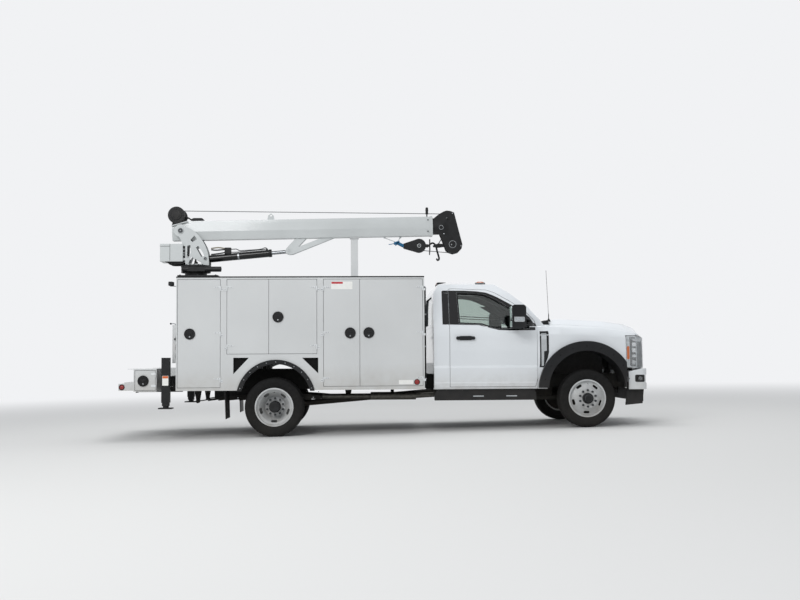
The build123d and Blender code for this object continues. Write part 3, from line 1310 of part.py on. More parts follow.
def rope():
    """The rope on the drum and its two taut runs, over the boom and back to the tied-up block."""
    x, z = on_boom(WINCH_X, WINCH_Z)
    wound = shaft_y(x, z, -78, 78, DRUM_RADIUS) - shaft_y(x, z, -90, 90, DRUM_RADIUS - 13.6)
    top = SHEAVES[0]
    top_x, top_z = on_boom(top[0], top[1])
    start = (x, 0, z + DRUM_RADIUS - ROPE_RADIUS)
    end = (top_x, 0, top_z + top[2] + ROPE_RADIUS + 0.5)
    run = wound + strut(start, end, ROPE_RADIUS)
    low = SHEAVES[1]
    low_x, low_z = on_boom(BLOCK_X, BLOCK_Z)
    far_x, far_z = on_boom(low[0], low[1])
    near = (low_x, 0, low_z - BLOCK_SHEAVE - ROPE_RADIUS - 0.5)
    back = strut(near, (far_x, 0, far_z - low[2] - ROPE_RADIUS - 0.7), ROPE_RADIUS)
    return stowed(Part() + [*run.solids(), *back.solids()])


def hook_block():
    x, z = on_boom(BLOCK_X, BLOCK_Z)
    tie_x, tie_z = on_boom(TIE_X, TIE_Z)
    block_part = Part()
    for side in (-1, 1):
        cheek = shaft_y(x, z, side * 16, side * 26, BLOCK_RADIUS)
        nose = [(x - 40, z + 88), (x - 215, z + 34), (x - 225, z), (x - 215, z - 34), (x - 40, z - 88)]
        cheek += side_prism(nose, side * 16, side * 26)
        block_part += cheek
    block_part += shaft_y(x, z, -30, 30, 20)
    block_part += shaft_y(x, z, -12, 12, BLOCK_SHEAVE)
    block_part += shaft_y(x - 196, z, -30, 30, 18)
    block_part += strut((x - 196, 0, z), (tie_x - 10, 0, tie_z - 13.9), 11)
    return stowed(block_part)


def lift_direction():
    return math.degrees(math.atan2(LIFT_EYE_Z - LIFT_BASE_Z, LIFT_EYE_X - LIFT_BASE_X))


def along_lift(shape):
    placed = Pos(LIFT_BASE_X, CRANE_Y, LIFT_BASE_Z) * Rot(0, -lift_direction(), 0)
    return Part() + [placed * solid for solid in shape.solids()]


def lift_span():
    return math.hypot(LIFT_EYE_X - LIFT_BASE_X, LIFT_EYE_Z - LIFT_BASE_Z)


def lift_barrel():
    tube = shaft_x(0, 0, 30, BARREL_LENGTH, BARREL_RADIUS)
    tube += shaft_y(0, 0, -48, 48, 48)
    tube -= shaft_x(0, 0, 90, BARREL_LENGTH - 40, BARREL_RADIUS - 8)
    tube -= shaft_x(0, 0, BARREL_LENGTH - 50, BARREL_LENGTH + 1, ROD_RADIUS + PIN_CLEARANCE)
    tube -= shaft_y(0, 0, -80, 80, LIFT_PIN + PIN_CLEARANCE)
    return along_lift(tube)


def lift_rod():
    span = lift_span()
    rod = shaft_x(0, 0, 150, span - 30, ROD_RADIUS)
    rod += shaft_x(0, 0, 120, 160, BARREL_RADIUS - 8 - SLIDE_GAP)
    rod += shaft_y(span, 0, -EYE_HALF, EYE_HALF, 42)
    return along_lift(rod)


# Doors and mirrors of the cab


def mirror_head():
    head = block(3225, 3418, -1300, -1085, 1444, 1766)
    head = Part() + fillet(head.edges().filter_by(Axis.Y), 45)
    low_arm = strut((3548, -912, 1490), (3385, -1120, 1500), 17)
    high_arm = strut((3540, -900, 1560), (3385, -1120, 1610), 15)
    return head + low_arm + high_arm


def build():
    """Every piece of the level truck, by name."""
    shell, door, glass_side, screen, backlight = cab_pieces()
    wings, hood, grille, lamp = front_pieces()
    door += mirror_head()
    pieces = {
        "frame_rails": frame_rails(),
        "axles": axles(),
        "springs": springs(),
        "powertrain": powertrain(),
        "fuel_tank": fuel_tank(),
        "exhaust": exhaust(),
        "front_bumper": front_bumper(),
        "cab_shell": shell + front_support(),
        "front_wings": wings,
        "black_trim": black_trim(),
        "grille": grille,
        "headlamps": pair(lamp),
        "cab_glass": Part() + [*screen.solids(), *backlight.solids()],
        "cab_interior": cab_interior(),
        "service_body": service_body(),
        "rear_bumper": rear_bumper(),
        "slew_base": slew_base(),
        "steering_wheel": steering_wheel(),
        "hood": hood,
        "tailgate": tailgate(),
        "mast": mast(),
        "boom_outer": boom_outer(),
        "winch": winch(),
        "winch_rope": rope(),
        "hook_block": hook_block(),
        "boom_middle": boom_middle(),
        "boom_inner": boom_inner(),
        "lift_barrel": lift_barrel(),
        "lift_rod": lift_rod(),
    }
    outer_y = -REAR_PAIR_Y - PAIR_SPACING / 2
    inner_y = -REAR_PAIR_Y + PAIR_SPACING / 2
    rear_tyres = Part() + [*tyre(outer_y, REAR_X, REAR_Z).solids(), *tyre(inner_y, REAR_X, REAR_Z).solids()]
    sided = {
        "front_tyre": tyre(-FRONT_WHEEL_Y, FRONT_X, FRONT_Z),
        "front_rim": front_rim(),
        "knuckle": knuckle(),
        "rear_tyres": rear_tyres,
        "rear_rims": rear_rims(),
        "cab_door": door,
        "door_glass": glass_side,
        "box_door": box_door(),
        "outrigger_beam": outrigger_beam(),
        "jack_leg": jack_leg(),
    }
    for name, *sizes in BODY_DOORS:
        sided["body_door_" + name] = body_door(*sizes)
    for name, shape in sided.items():
        pieces[name + "_right"] = shape
        pieces[name + "_left"] = mirrored(shape)
    return pieces


def parked(pieces):
    """Leans the truck on its springs and sets the middle of its box, on the ground, at the origin."""
    lean = Location((0, 0, RAKE_HEIGHT)) * Location((0, 0, 0), (0, RAKE, 0)) * Location((0, 0, -RAKE_HEIGHT))
    leaned = {name: shape.moved(lean) for name, shape in pieces.items()}
    boxes = [shape.bounding_box() for shape in leaned.values()]
    middle_x = (min(box.min.X for box in boxes) + max(box.max.X for box in boxes)) / 2
    shift = Location((-middle_x, 0, 0))
    print("middle of the box ahead of the rear axle:", round(middle_x, 4))
    return {name: shape.moved(shift) for name, shape in leaned.items()}


os.makedirs("parts", exist_ok=True)
for piece_name, piece in parked(build()).items():
    export_step(piece, "parts/" + piece_name + ".step")
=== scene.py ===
# %% [markdown]
# # A service crane truck
# This notebook dresses the solids of a white service truck: a single cab on a heavy frame, a steel body of
# compartments and a telescopic crane. The solids already have the right sizes and places, so the work here
# is the finish: softened edges, paint, rubber and glass, and the small parts that solids leave out.

# %% Load the frame
import bpy
import bmesh
import json
from math import atan2, cos, degrees, hypot, pi, radians, sin
from mathutils import Matrix, Vector
from mathutils.bvhtree import BVHTree


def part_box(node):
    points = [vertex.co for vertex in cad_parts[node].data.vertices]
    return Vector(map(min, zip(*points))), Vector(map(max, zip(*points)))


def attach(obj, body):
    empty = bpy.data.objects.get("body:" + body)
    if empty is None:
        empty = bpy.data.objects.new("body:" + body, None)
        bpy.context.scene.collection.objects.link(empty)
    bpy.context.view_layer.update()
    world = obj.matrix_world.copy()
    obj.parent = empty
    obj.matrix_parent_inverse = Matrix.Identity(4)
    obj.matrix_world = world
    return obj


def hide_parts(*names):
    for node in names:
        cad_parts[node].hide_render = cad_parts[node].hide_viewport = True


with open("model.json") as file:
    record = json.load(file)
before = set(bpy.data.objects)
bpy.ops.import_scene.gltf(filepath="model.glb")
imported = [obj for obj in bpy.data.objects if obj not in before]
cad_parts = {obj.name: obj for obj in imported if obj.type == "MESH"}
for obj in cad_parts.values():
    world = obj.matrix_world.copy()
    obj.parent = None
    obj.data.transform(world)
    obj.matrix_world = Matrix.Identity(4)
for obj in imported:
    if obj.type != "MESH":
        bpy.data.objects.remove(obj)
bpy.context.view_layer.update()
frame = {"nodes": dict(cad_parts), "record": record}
scene = bpy.context.scene
SIDES = ("right", "left")
print("pieces in the frame:", len(frame["nodes"]))

# %% [markdown]
# The truck is drawn level, in millimetres from its rear axle, and then leans nose down on its springs. The
# same lean is one matrix here, so every small part below is made in those level millimetres and moved once.

# %% From level millimetres to the frame's metres
RAKE = radians(1.11)
RAKE_HEIGHT = 390.0
MIDDLE = 1594.889
LEAN = (
    Matrix.Scale(0.001, 4)
    @ Matrix.Translation((-MIDDLE, 0, RAKE_HEIGHT))
    @ Matrix.Rotation(RAKE, 4, "Y")
    @ Matrix.Translation((0, 0, -RAKE_HEIGHT))
)
LEVEL = LEAN.inverted()
print("a point over the rear axle:", tuple(round(v, 3) for v in LEAN @ Vector((0, 0, RAKE_HEIGHT))))

# %% [markdown]
# The photo was taken from about fifteen metres off the truck's right side, a metre above the ground, with a
# lens a little longer than normal. The three angles turn the camera left, up and round its own axis.

# %% The camera


def placed(name, data):
    """A new object in the scene."""
    thing = bpy.data.objects.new(name, data)
    scene.collection.objects.link(thing)
    return thing


camera_data = bpy.data.cameras.new("photo_camera")
camera_data.sensor_width = 36.0
camera_data.lens = 47.57
camera_data.clip_end = 400.0
camera = placed("photo_camera", camera_data)
YAW, PITCH, ROLL = (radians(a) for a in (2.77, 3.15, -1.46))
EYE = (1.04 - MIDDLE / 1000, -15.539, 1.015)
level_look = Matrix.Rotation(-YAW, 4, "Z") @ Matrix.Rotation(pi / 2 + PITCH, 4, "X")
camera.matrix_world = Matrix.Translation(EYE) @ level_look @ Matrix.Rotation(ROLL, 4, "Z")
scene.camera = camera
print("the camera looks along", tuple(round(-v, 3) for v in camera.matrix_world.col[2][:3]))

# %% [markdown]
# Colours are picked as they look on a screen, in sRGB. Blender mixes light in linear values, so one
# function turns a hex value to linear. Another adds a node with its settings and links, and a third makes a
# whole material of shades, wandering roughness and fine grain.

# %% Helpers for materials


def linear(hex_value):
    parts = [int(hex_value[i:i + 2], 16) / 255 for i in (1, 3, 5)]
    return tuple(p / 12.92 if p <= 0.04045 else ((p + 0.055) / 1.055) ** 2.4 for p in parts) + (1.0,)


def add(tree, kind, settings=None, **links):
    """Adds a node: settings are its own values or its sockets' values, links are sockets to join."""
    node = tree.nodes.new(kind)
    for name, value in (settings or {}).items():
        if hasattr(node, name):
            setattr(node, name, value)
        else:
            node.inputs[name].default_value = value
    for name, source in links.items():
        socket = node.inputs[int(name[1:])] if name[0] == "i" and name[1:].isdigit() else node.inputs[name]
        tree.links.new(source, socket)
    return node


def dusted(tree, where, shades, dust, low_z, high_z):
    """Road dust over the shades, which fades out between two heights above the ground, in metres."""
    height = add(tree, "ShaderNodeSeparateXYZ", Vector=where).outputs["Z"]
    heights = {"From Min": low_z, "From Max": high_z, "To Min": 1.0, "To Max": 0.0}
    fade = add(tree, "ShaderNodeMapRange", heights, Value=height).outputs["Result"]
    spots = add(tree, "ShaderNodeTexNoise", {"Scale": 9.0, "Detail": 6.0}, Vector=where).outputs["Fac"]
    amount = add(tree, "ShaderNodeMath", {"operation": "MULTIPLY"}, i0=fade, i1=spots).outputs["Value"]
    mix = add(tree, "ShaderNodeMix", {"data_type": "RGBA"}, i0=amount, i6=shades)
    mix.inputs[7].default_value = linear(dust)
    return mix.outputs[2]


def finish(name, colour=None, roughness=None, bump=None, **settings):
    """A Principled material with noise for its patches and grain, whose sizes are in mm. colour is two shades
    and a size, and for dust its shade and two heights. roughness is two values and a size, and bump is the
    grain's size, depth and strength. settings are fixed values of other inputs, with _ for a space."""
    material = bpy.data.materials.new(name)
    material.use_nodes = True
    tree = material.node_tree
    shader = tree.nodes["Principled BSDF"].inputs
    for key, value in settings.items():
        shader[key.replace("_", " ")].default_value = value
    where = add(tree, "ShaderNodeTexCoord").outputs["Object"]

    def noise(size_mm, detail):
        settings = {"Scale": 1000.0 / size_mm, "Detail": detail}
        return add(tree, "ShaderNodeTexNoise", settings, Vector=where).outputs["Fac"]

    if colour:
        *shades, size_mm = colour[:3]
        ramp = add(tree, "ShaderNodeValToRGB", Fac=noise(size_mm, 3.0))
        for element, position, shade in zip(ramp.color_ramp.elements, (0.35, 0.7), shades):
            element.position = position
            element.color = linear(shade)
        paint = ramp.outputs["Color"]
        if colour[3:]:
            paint = dusted(tree, where, paint, *colour[3:])
        tree.links.new(paint, shader["Base Color"])
    if roughness:
        low, high, size_mm = roughness
        spread = add(tree, "ShaderNodeMapRange", {"To Min": low, "To Max": high}, Value=noise(size_mm, 4.0))
        tree.links.new(spread.outputs["Result"], shader["Roughness"])
    if bump:
        size_mm, depth_mm, strength = bump
        relief = {"Distance": depth_mm / 1000.0, "Strength": strength}
        bumped = add(tree, "ShaderNodeBump", relief, Height=noise(size_mm, 2.0))
        tree.links.new(bumped.outputs["Normal"], shader["Normal"])
    return material


print("a middle grey in linear light:", tuple(round(v, 3) for v in linear("#808080")))

# %% [markdown]
# The cab is sprayed with automotive enamel under a clear coat: a hard gloss with the faint orange peel that
# a spray gun leaves. The compartments are powder coated, which flows less and so keeps a coarser peel and a
# softer gloss. Their white is a little greyer than the cab's, as painted shade on the body's upright sides.

# %% Paints
cab_enamel = finish(
    "cab_enamel_clearcoat", ("#DDE1E4", "#E3E7EA", 900, "#A39C90", 0.40, 0.85),
    bump=(5, 0.05, 0.25), Roughness=0.32, Coat_Weight=1.0, Coat_Roughness=0.04, IOR=1.5,
)
# The body's white is greyed as painted shade on its upright sides.
body_powder_painted_shade = finish(
    "body_white_powder_coat_painted_shade", ("#C8CACA", "#D0D2D2", 1200, "#A39C90", 0.45, 0.95),
    bump=(7, 0.12, 0.3), Roughness=0.36, Coat_Weight=0.35, Coat_Roughness=0.2, IOR=1.5,
)
boom_enamel = finish(
    "boom_light_grey_enamel", ("#BEC2C2", "#C8CCCC", 700),
    bump=(8, 0.1, 0.3), Roughness=0.34, Coat_Weight=0.5, Coat_Roughness=0.12,
)
crane_black = finish(
    "crane_black_satin_enamel", ("#101112", "#1B1C1E", 60), (0.34, 0.58, 40), (3, 0.08, 0.4),
    Roughness=0.42, Specular_IOR_Level=0.3,
)
frame_black = finish(
    "frame_black_chassis_wax", ("#131313", "#1D1D1C", 90, "#3F3C37", 0.25, 0.95),
    (0.5, 0.8, 60), (12, 0.2, 0.5), Specular_IOR_Level=0.22,
)
wheel_enamel = finish(
    "wheel_white_enamel", ("#C3C6C8", "#CFD2D3", 120, "#8A8378", 0.05, 0.95),
    bump=(4, 0.06, 0.3), Roughness=0.4, Coat_Weight=0.3, Coat_Roughness=0.2,
)
print("paints:", len(bpy.data.materials))

# %% [markdown]
# Arches, sills and the mirror shells are injection-moulded plastic with a fine leather grain from the
# mould. The grain is about half a millimetre on the real part and is drawn four times coarser, so that it
# shows.

# %% Plastics, rubber and cloth
moulded_black = finish(
    "moulded_black_polypropylene", ("#141517", "#1B1C1E", 150, "#3E3B37", 0.15, 0.85),
    (0.46, 0.62, 80), (2, 0.12, 0.6), IOR=1.49, Specular_IOR_Level=0.28,
)
gloss_black = finish(
    "gloss_black_abs", ("#0B0C0D", "#101113", 200), Roughness=0.14, Specular_IOR_Level=0.4,
)
tyre_rubber = finish(
    "tyre_rubber_vulcanised", ("#111111", "#191919", 35, "#35322E", -0.3, 0.7),
    (0.68, 0.92, 30), (3, 0.25, 0.5), IOR=1.52, Specular_IOR_Level=0.2,
)
hose_rubber = finish(
    "hose_rubber_braided", ("#131415", "#202122", 12), (0.5, 0.75, 8), (1.6, 0.2, 0.6),
    IOR=1.5, Specular_IOR_Level=0.25,
)
shadow_black = finish(
    "shadow_black_moulding", ("#0A0A0B", "#121213", 40),
    Roughness=0.7, IOR=1.49, Specular_IOR_Level=0.15,
)
seal_rubber = finish(
    "seal_rubber_extruded", ("#101112", "#1A1B1C", 30), (0.55, 0.7, 25),
    IOR=1.5, Specular_IOR_Level=0.2,
)
trim_plastic = finish(
    "cab_trim_grained_vinyl", ("#3A3D40", "#45484B", 120), (0.6, 0.72, 60), (2, 0.1, 0.5),
    IOR=1.5,
)
hose_beige = finish(
    "hose_beige_fabric_sleeve", ("#8B8574", "#A39C88", 5), bump=(1.8, 0.3, 0.7),
    Roughness=0.85, Sheen_Weight=0.2,
)
strap_blue = finish(
    "strap_blue_polyester_webbing", ("#0E4F74", "#1B6C98", 4), bump=(1.6, 0.3, 0.8),
    Roughness=0.8, Sheen_Weight=0.3,
)
duct_grey = finish("cable_duct_grey_pvc", ("#85898C", "#94989A", 90), (0.4, 0.55, 50), IOR=1.53)
label_white = finish("label_white_vinyl", ("#E8E8E4", "#F0F0EC", 60), Roughness=0.45)
label_red = finish("label_red_vinyl", ("#B3202A", "#C12A33", 50), Roughness=0.45)
label_orange = finish("label_orange_vinyl", ("#CC5A1C", "#D96A26", 50), Roughness=0.45)
seat_cloth = finish(
    "seat_cloth_woven", ("#1E2023", "#2C2F33", 6), bump=(1.5, 0.3, 0.7),
    Roughness=0.9, Sheen_Weight=0.4, Sheen_Roughness=0.5,
)
print("with plastics, rubber and cloth:", len(bpy.data.materials))

# %% [markdown]
# Bare metals keep Blender's default index of refraction, because their reflection is set by their colour.
# Rolled and turned steel scatters light along fine marks, so its roughness wanders; chrome's hardly does.

# %% Metals
zinc_steel = finish(
    "zinc_plated_steel", ("#8C8F92", "#A6A9AB", 15), (0.25, 0.45, 10), Metallic=1.0,
)
# The hinge leaves are painted lighter than the body's white: a painted highlight on their proud edges.
hinge_painted_highlight = finish(
    "hinge_white_painted_highlight", ("#D6D9DA", "#E2E4E5", 20), (0.35, 0.5, 15), Metallic=0.1,
)
pin_steel = finish(
    "pin_steel_phosphated", ("#3C3E40", "#525456", 18), (0.38, 0.55, 12), Metallic=0.85,
)
bright_trim = finish(
    "bright_trim_satin_chrome", ("#B6BABC", "#C4C8CA", 80), (0.16, 0.26, 50), Metallic=1.0,
)
deck_steel = finish(
    "deck_steel_worn_enamel", ("#A9ABAA", "#C2C4C3", 25), (0.35, 0.55, 20), Metallic=0.3,
)
rod_chrome = finish("hard_chromed_rod", ("#7F8285", "#8E9194", 60), (0.10, 0.2, 30), Metallic=1.0)
exhaust_steel = finish(
    "exhaust_aluminised_steel", ("#5A5A58", "#77766F", 50, "#4A443C", 0.2, 0.8),
    (0.4, 0.65, 40), (10, 0.2, 0.4), Metallic=0.9,
)
cast_iron = finish(
    "cast_iron_painted", ("#1D1D1E", "#2B2A29", 40, "#5C564C", 0.1, 0.9),
    (0.55, 0.8, 25), (4, 0.3, 0.6), Metallic=0.2,
)
rope_steel = finish(
    "wire_rope_galvanised", ("#4E5052", "#77797B", 4), (0.4, 0.6, 5), (2.5, 0.5, 0.8),
    Metallic=0.8,
)
print("with metals:", len(bpy.data.materials))

# %% [markdown]
# The cab's glass is lightly tinted safety glass. It is a real 6 mm plate in the frame, so a transmission
# shader bends light through it as it should. Lamp lenses are clear or coloured polycarbonate.

# %% Glass and lenses
cab_glass = finish(
    "tinted_safety_glass",
    Base_Color=linear("#CDD7D2"), Roughness=0.02, Transmission_Weight=1.0, IOR=1.46, Coat_Weight=0.3,
)
lamp_lens = finish(
    "lamp_clear_polycarbonate",
    Base_Color=linear("#E8ECEE"), Roughness=0.04, Transmission_Weight=0.85, IOR=1.5,
)
LENS = {"Roughness": 0.12, "Coat_Weight": 0.8, "Transmission_Weight": 0.2}
amber_lens = finish("lamp_amber_polycarbonate", ("#C65A12", "#D86C1B", 8), **LENS)
red_lens = finish("lamp_red_polycarbonate", ("#8E1512", "#A51E18", 8), **LENS)
mirror_silver = finish(
    "mirror_silvered_glass", ("#C9CFD3", "#D2D8DB", 300), (0.02, 0.05, 90), Metallic=1.0,
)
print("materials:", len(bpy.data.materials))

# %% [markdown]
# The solids come as loose triangles with knife-sharp edges, which never catch the light. Each one is
# copied, its triangles are merged to clean faces, and a small bevel of the real edge's radius is put on
# every corner. Weighted normals then keep a flat panel flat to the eye right up to its rounded edge.

# %% Skins with softened edges
SKIN_Y = 980


def as_piece(name, mesh, node, stands_for=()):
    """A piece that rides with a node's body, in place of the solids it stands for."""
    piece = placed(name, mesh)
    record = frame["record"]
    body = next(body for body, members in record["behaviour"]["bodies"].items() if node in members)
    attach(piece, body)
    if stands_for:
        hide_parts(*stands_for)
    return piece


def baked(holder):
    """The holder's mesh with its modifiers applied. The holder is thrown away."""
    bpy.context.view_layer.update()
    graph = bpy.context.evaluated_depsgraph_get()
    mesh = bpy.data.meshes.new_from_object(holder.evaluated_get(graph), depsgraph=graph)
    bpy.data.objects.remove(holder)
    return mesh


def modified(mesh, kind, **settings):
    holder = placed("holder", mesh)
    modifier = holder.modifiers.new(kind.lower(), kind)
    for key, value in settings.items():
        setattr(modifier, key, value)
    return baked(holder)


def softened(mesh, width):
    """A mesh with its corners rounded, in the mesh's own millimetres or metres."""
    return modified(mesh, "BEVEL", width=width, segments=2, limit_method="ANGLE", angle_limit=radians(30))


def evened(mesh, creases=()):
    """Smooth corners, with flat panels kept flat. Creases are level heights where a panel is folded."""
    for polygon in mesh.polygons:
        polygon.use_smooth = True
    mesh.set_sharp_from_angle(angle=radians(40))
    if creases:
        level = [LEVEL @ vertex.co for vertex in mesh.vertices]
        for edge in mesh.edges:
            ends = [level[index] for index in edge.vertices]
            outside = all(abs(end.y) > SKIN_Y for end in ends)
            if outside and any(all(abs(end.z - height) < 3 for end in ends) for height in creases):
                edge.use_edge_sharp = True
    return modified(mesh, "WEIGHTED_NORMAL", keep_sharp=True)


def clean_copy(node):
    mesh = frame["nodes"][node].data.copy()
    form = bmesh.new()
    form.from_mesh(mesh)
    bmesh.ops.remove_doubles(form, verts=form.verts, dist=0.00002)
    flat = radians(0.6)
    bmesh.ops.dissolve_limit(
        form, angle_limit=flat, use_dissolve_boundaries=False, verts=form.verts, edges=form.edges,
    )
    form.to_mesh(mesh)
    form.free()
    return mesh


def skin(node, materials, rounding=0.0, rule=None, creases=()):
    """A dressed copy of a solid. rule picks a face's material from its level corners and its normal."""
    mesh = clean_copy(node)
    if rounding:
        mesh = softened(mesh, rounding / 1000.0)
    mesh.materials.clear()
    for material in materials:
        mesh.materials.append(material)
    if rule:
        level = [LEVEL @ vertex.co for vertex in mesh.vertices]
        for polygon in mesh.polygons:
            polygon.material_index = rule([level[index] for index in polygon.vertices], polygon.normal)
    return as_piece(node + "_skin", evened(mesh, creases), node, [node])


# %% [markdown]
# Pieces with one finish only need the bevel. The widths are the radii that such edges have: about 3 mm on
# pressed and folded sheet, 6 mm on the front bumper, 8 mm on padded seats, 2 mm on machined plate.

# %% Painted and moulded pieces
SKINS = [
    ("frame_rails", frame_black, 2.0), ("springs", frame_black, 1.5), ("axles", cast_iron, 3.0),
    ("powertrain", cast_iron, 4.0), ("fuel_tank", moulded_black, 0.0), ("exhaust", exhaust_steel, 0.0),
    ("front_bumper", cab_enamel, 6.0), ("front_wings", cab_enamel, 4.0), ("hood", cab_enamel, 5.0),
    ("black_trim", moulded_black, 4.0), ("grille", moulded_black, 3.0), ("tailgate", body_powder_painted_shade, 3.0),
    ("rear_bumper", body_powder_painted_shade, 2.5), ("slew_base", crane_black, 2.5), ("boom_outer", boom_enamel, 2.5),
    ("boom_middle", boom_enamel, 1.0), ("boom_inner", crane_black, 2.5), ("winch", crane_black, 3.0),
    ("hook_block", crane_black, 2.5), ("lift_barrel", gloss_black, 2.0), ("lift_rod", rod_chrome, 1.0),
    ("cab_interior", seat_cloth, 8.0), ("steering_wheel", moulded_black, 0.0),
    ("winch_rope", rope_steel, 0.0), ("cab_glass", cab_glass, 0.0), ("headlamps", lamp_lens, 3.0),
]
for sided in SIDES:
    SKINS += [
        ("outrigger_beam_" + sided, crane_black, 2.0), ("jack_leg_" + sided, crane_black, 2.0),
        ("door_glass_" + sided, cab_glass, 0.0), ("knuckle_" + sided, cast_iron, 2.0),
    ]
for node, material, rounding in SKINS:
    skin(node, [material], rounding)
print("skins with one finish:", len(SKINS))

# %% [markdown]
# Some solids carry several finishes. The cab's shell is white outside and grey plastic inside, and its
# wheel houses and radiator support are black. The service body is undersealed in its wheel wells, with cast
# hinge leaves proud of its sides, painted lighter than the body as painted highlight. The corners of a face,
# back in level millimetres, and the way it looks say which finish it takes: a rule returns its place in the
# list.

# %% Cab, body and mast
CAB_HEART = Vector((2900, 0, 1450))
PANEL_FOLDS = (698, 716, 908, 941)
RADIATOR_X, FIREWALL_X, COWL_X, COWL_Z = 4700, 3613, 3610, 1430
POST_X, WINDOW_Z = (2385, 2401), (1500, 1996)
DOOR_Y, DOOR_EDGE_X = 1030, 2416
FOOT_X, FOOT_Y, FOOT_Z = 3360, 885, 1470
WELL_X, WELL_TOP, SHEET_Y, LEAF_Y = (-560, 612), 1086, 1192, 1200.5
DECK_Y, DECK_Z, FLOOR_Z = 642, 976, 660
BEARING_TOP = 2337
MAST_PINS = ((-1283, 2807, 36), (-945, 2425, 22))
WIDEST_M, TRIMMED_M = 1.290, 1.293


def middle_of(corners):
    return sum(corners, Vector()) / len(corners)


def span(corners):
    """The rear, front, lowest and highest values of a face."""
    x, z = [c.x for c in corners], [c.z for c in corners]
    return min(x), max(x), min(z), max(z)


def reach(corners, x, z):
    """How far a face reaches from a point of the truck's side view."""
    return max(hypot(c.x - x, c.z - z) for c in corners)


def looks_inward(corners, normal):
    return (middle_of(corners) - CAB_HEART).dot(normal) < 0


def cab_rule(corners, normal):
    rear, front, low, _ = span(corners)
    if rear > RADIATOR_X:
        return 2
    cowl = rear > COWL_X and low > COWL_Z
    post = rear > POST_X[0] and front < POST_X[1] and low > WINDOW_Z[0]
    if cowl or post:
        return 3
    return 1 if looks_inward(corners, normal) or rear > FIREWALL_X else 0


def cab_door_rule(corners, normal):
    rear, front, low, high = span(corners)
    width = [abs(c.y) for c in corners]
    mirror = max(width) > DOOR_Y
    mirror_foot = rear > FOOT_X and low > FOOT_Z and min(width) > FOOT_Y
    edge = front < DOOR_EDGE_X and low > WINDOW_Z[0] and high < WINDOW_Z[1]
    if mirror or mirror_foot or edge:
        return 2
    return 1 if looks_inward(corners, normal) else 0


def body_rule(corners, normal):
    if max(abs(c.y) for c in corners) > LEAF_Y:
        return 2
    middle = middle_of(corners)
    in_well = WELL_X[0] < middle.x < WELL_X[1] and middle.z < WELL_TOP and DECK_Y < abs(middle.y) < SHEET_Y
    under_deck = middle.z < DECK_Z and abs(middle.y) < DECK_Y
    below = normal.z < -0.7 and middle.z < FLOOR_Z
    return 1 if in_well or under_deck or below else 0


def mast_rule(corners, normal):
    if max(c.z for c in corners) < BEARING_TOP:
        return 1
    return 2 if any(reach(corners, x, z) < radius for x, z, radius in MAST_PINS) else 0


skin("cab_shell", [cab_enamel, trim_plastic, frame_black, moulded_black], 4.0, cab_rule, PANEL_FOLDS)
skin("service_body", [body_powder_painted_shade, frame_black, hinge_painted_highlight], 2.5, body_rule)
skin("mast", [boom_enamel, crane_black, pin_steel], 2.5, mast_rule)
for sided in SIDES:
    finishes = [cab_enamel, trim_plastic, moulded_black]
    door = skin("cab_door_" + sided, finishes, 4.0, cab_door_rule, PANEL_FOLDS)
    for vertex in door.data.vertices:
        if abs(vertex.co.y) > WIDEST_M:
            vertex.co.y *= TRIMMED_M / abs(vertex.co.y)
print("faces on the last cab door:", len(door.data.polygons))

# %% [markdown]
# A compartment door is white steel with a black latch dish and cast hinge leaves, whose lighter white is
# painted highlight. All of them stand proud of the panel, and the latch is the one whose faces all lie close
# to its middle.

# %% Compartment doors
LATCHES = {"a": (-1129, 1389), "b": None, "c": (54, 1614), "d": (1028, 1394), "e": (1280, 1396)}
BOX_LATCH = (-1753, 762)
DISH_RADIUS = 80


def dish_rule(latch, panel_y):
    def rule(corners, normal):
        if max(abs(c.y) for c in corners) < panel_y + 0.4:
            return 0
        return 1 if latch and reach(corners, *latch) < DISH_RADIUS else 2
    return rule


finishes = [body_powder_painted_shade, gloss_black, hinge_painted_highlight]
for sided in SIDES:
    for letter, latch in LATCHES.items():
        skin("body_door_%s_%s" % (letter, sided), finishes, 2.0, dish_rule(latch, 1200))
    skin("box_door_" + sided, finishes, 2.0, dish_rule(BOX_LATCH, 1150))
print("compartment doors on a side:", len(LATCHES))

# %% [markdown]
# A wheel is white with a black hub and dark plated nuts. The hub's faces stay near the axis, and each nut's
# faces stay near its place on the bolt circle.

# %% Wheels
BOLT_CIRCLE, HUB_RADIUS, NUT_RADIUS = 112.5, 90, 20


def hub_centre(node):
    low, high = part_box(node)
    return LEVEL @ ((Vector(low) + Vector(high)) / 2)


def rim_rule(centre):
    angles = [radians(18 + 36 * k) for k in range(10)]
    nuts = [(centre.x + BOLT_CIRCLE * cos(a), centre.z + BOLT_CIRCLE * sin(a)) for a in angles]

    def rule(corners, normal):
        if reach(corners, centre.x, centre.z) < HUB_RADIUS:
            return 1
        return 2 if any(reach(corners, x, z) < NUT_RADIUS for x, z in nuts) else 0
    return rule


for sided in SIDES:
    for node in ("front_rim_" + sided, "rear_rims_" + sided):
        skin(node, [wheel_enamel, crane_black, pin_steel], 1.5, rim_rule(hub_centre(node)))

# %% [markdown]
# Small parts are drawn in the truck's level millimetres with four helpers: a flat outline pushed along an
# axis, a profile turned on a lathe, a round bar along some points, and a sheet that is cast onto a panel
# with rays. Each one ends in the frame's metres, so the finished object sits unmoved at the origin.

# %% Helpers for small parts
AXES = {"x": (1, 2, 0), "y": (0, 2, 1), "z": (0, 1, 2)}


def settled(mesh, used, rounding=0.0):
    """Softens a mesh in level millimetres, moves it to the frame and gives it a finish."""
    if rounding:
        mesh = softened(mesh, rounding)
    mesh.transform(LEAN)
    mesh.materials.clear()
    mesh.materials.append(used)
    return mesh


def from_form(form):
    bmesh.ops.remove_doubles(form, verts=form.verts, dist=0.001)
    bmesh.ops.recalc_face_normals(form, faces=form.faces)
    mesh = bpy.data.meshes.new("part")
    form.to_mesh(mesh)
    form.free()
    return mesh


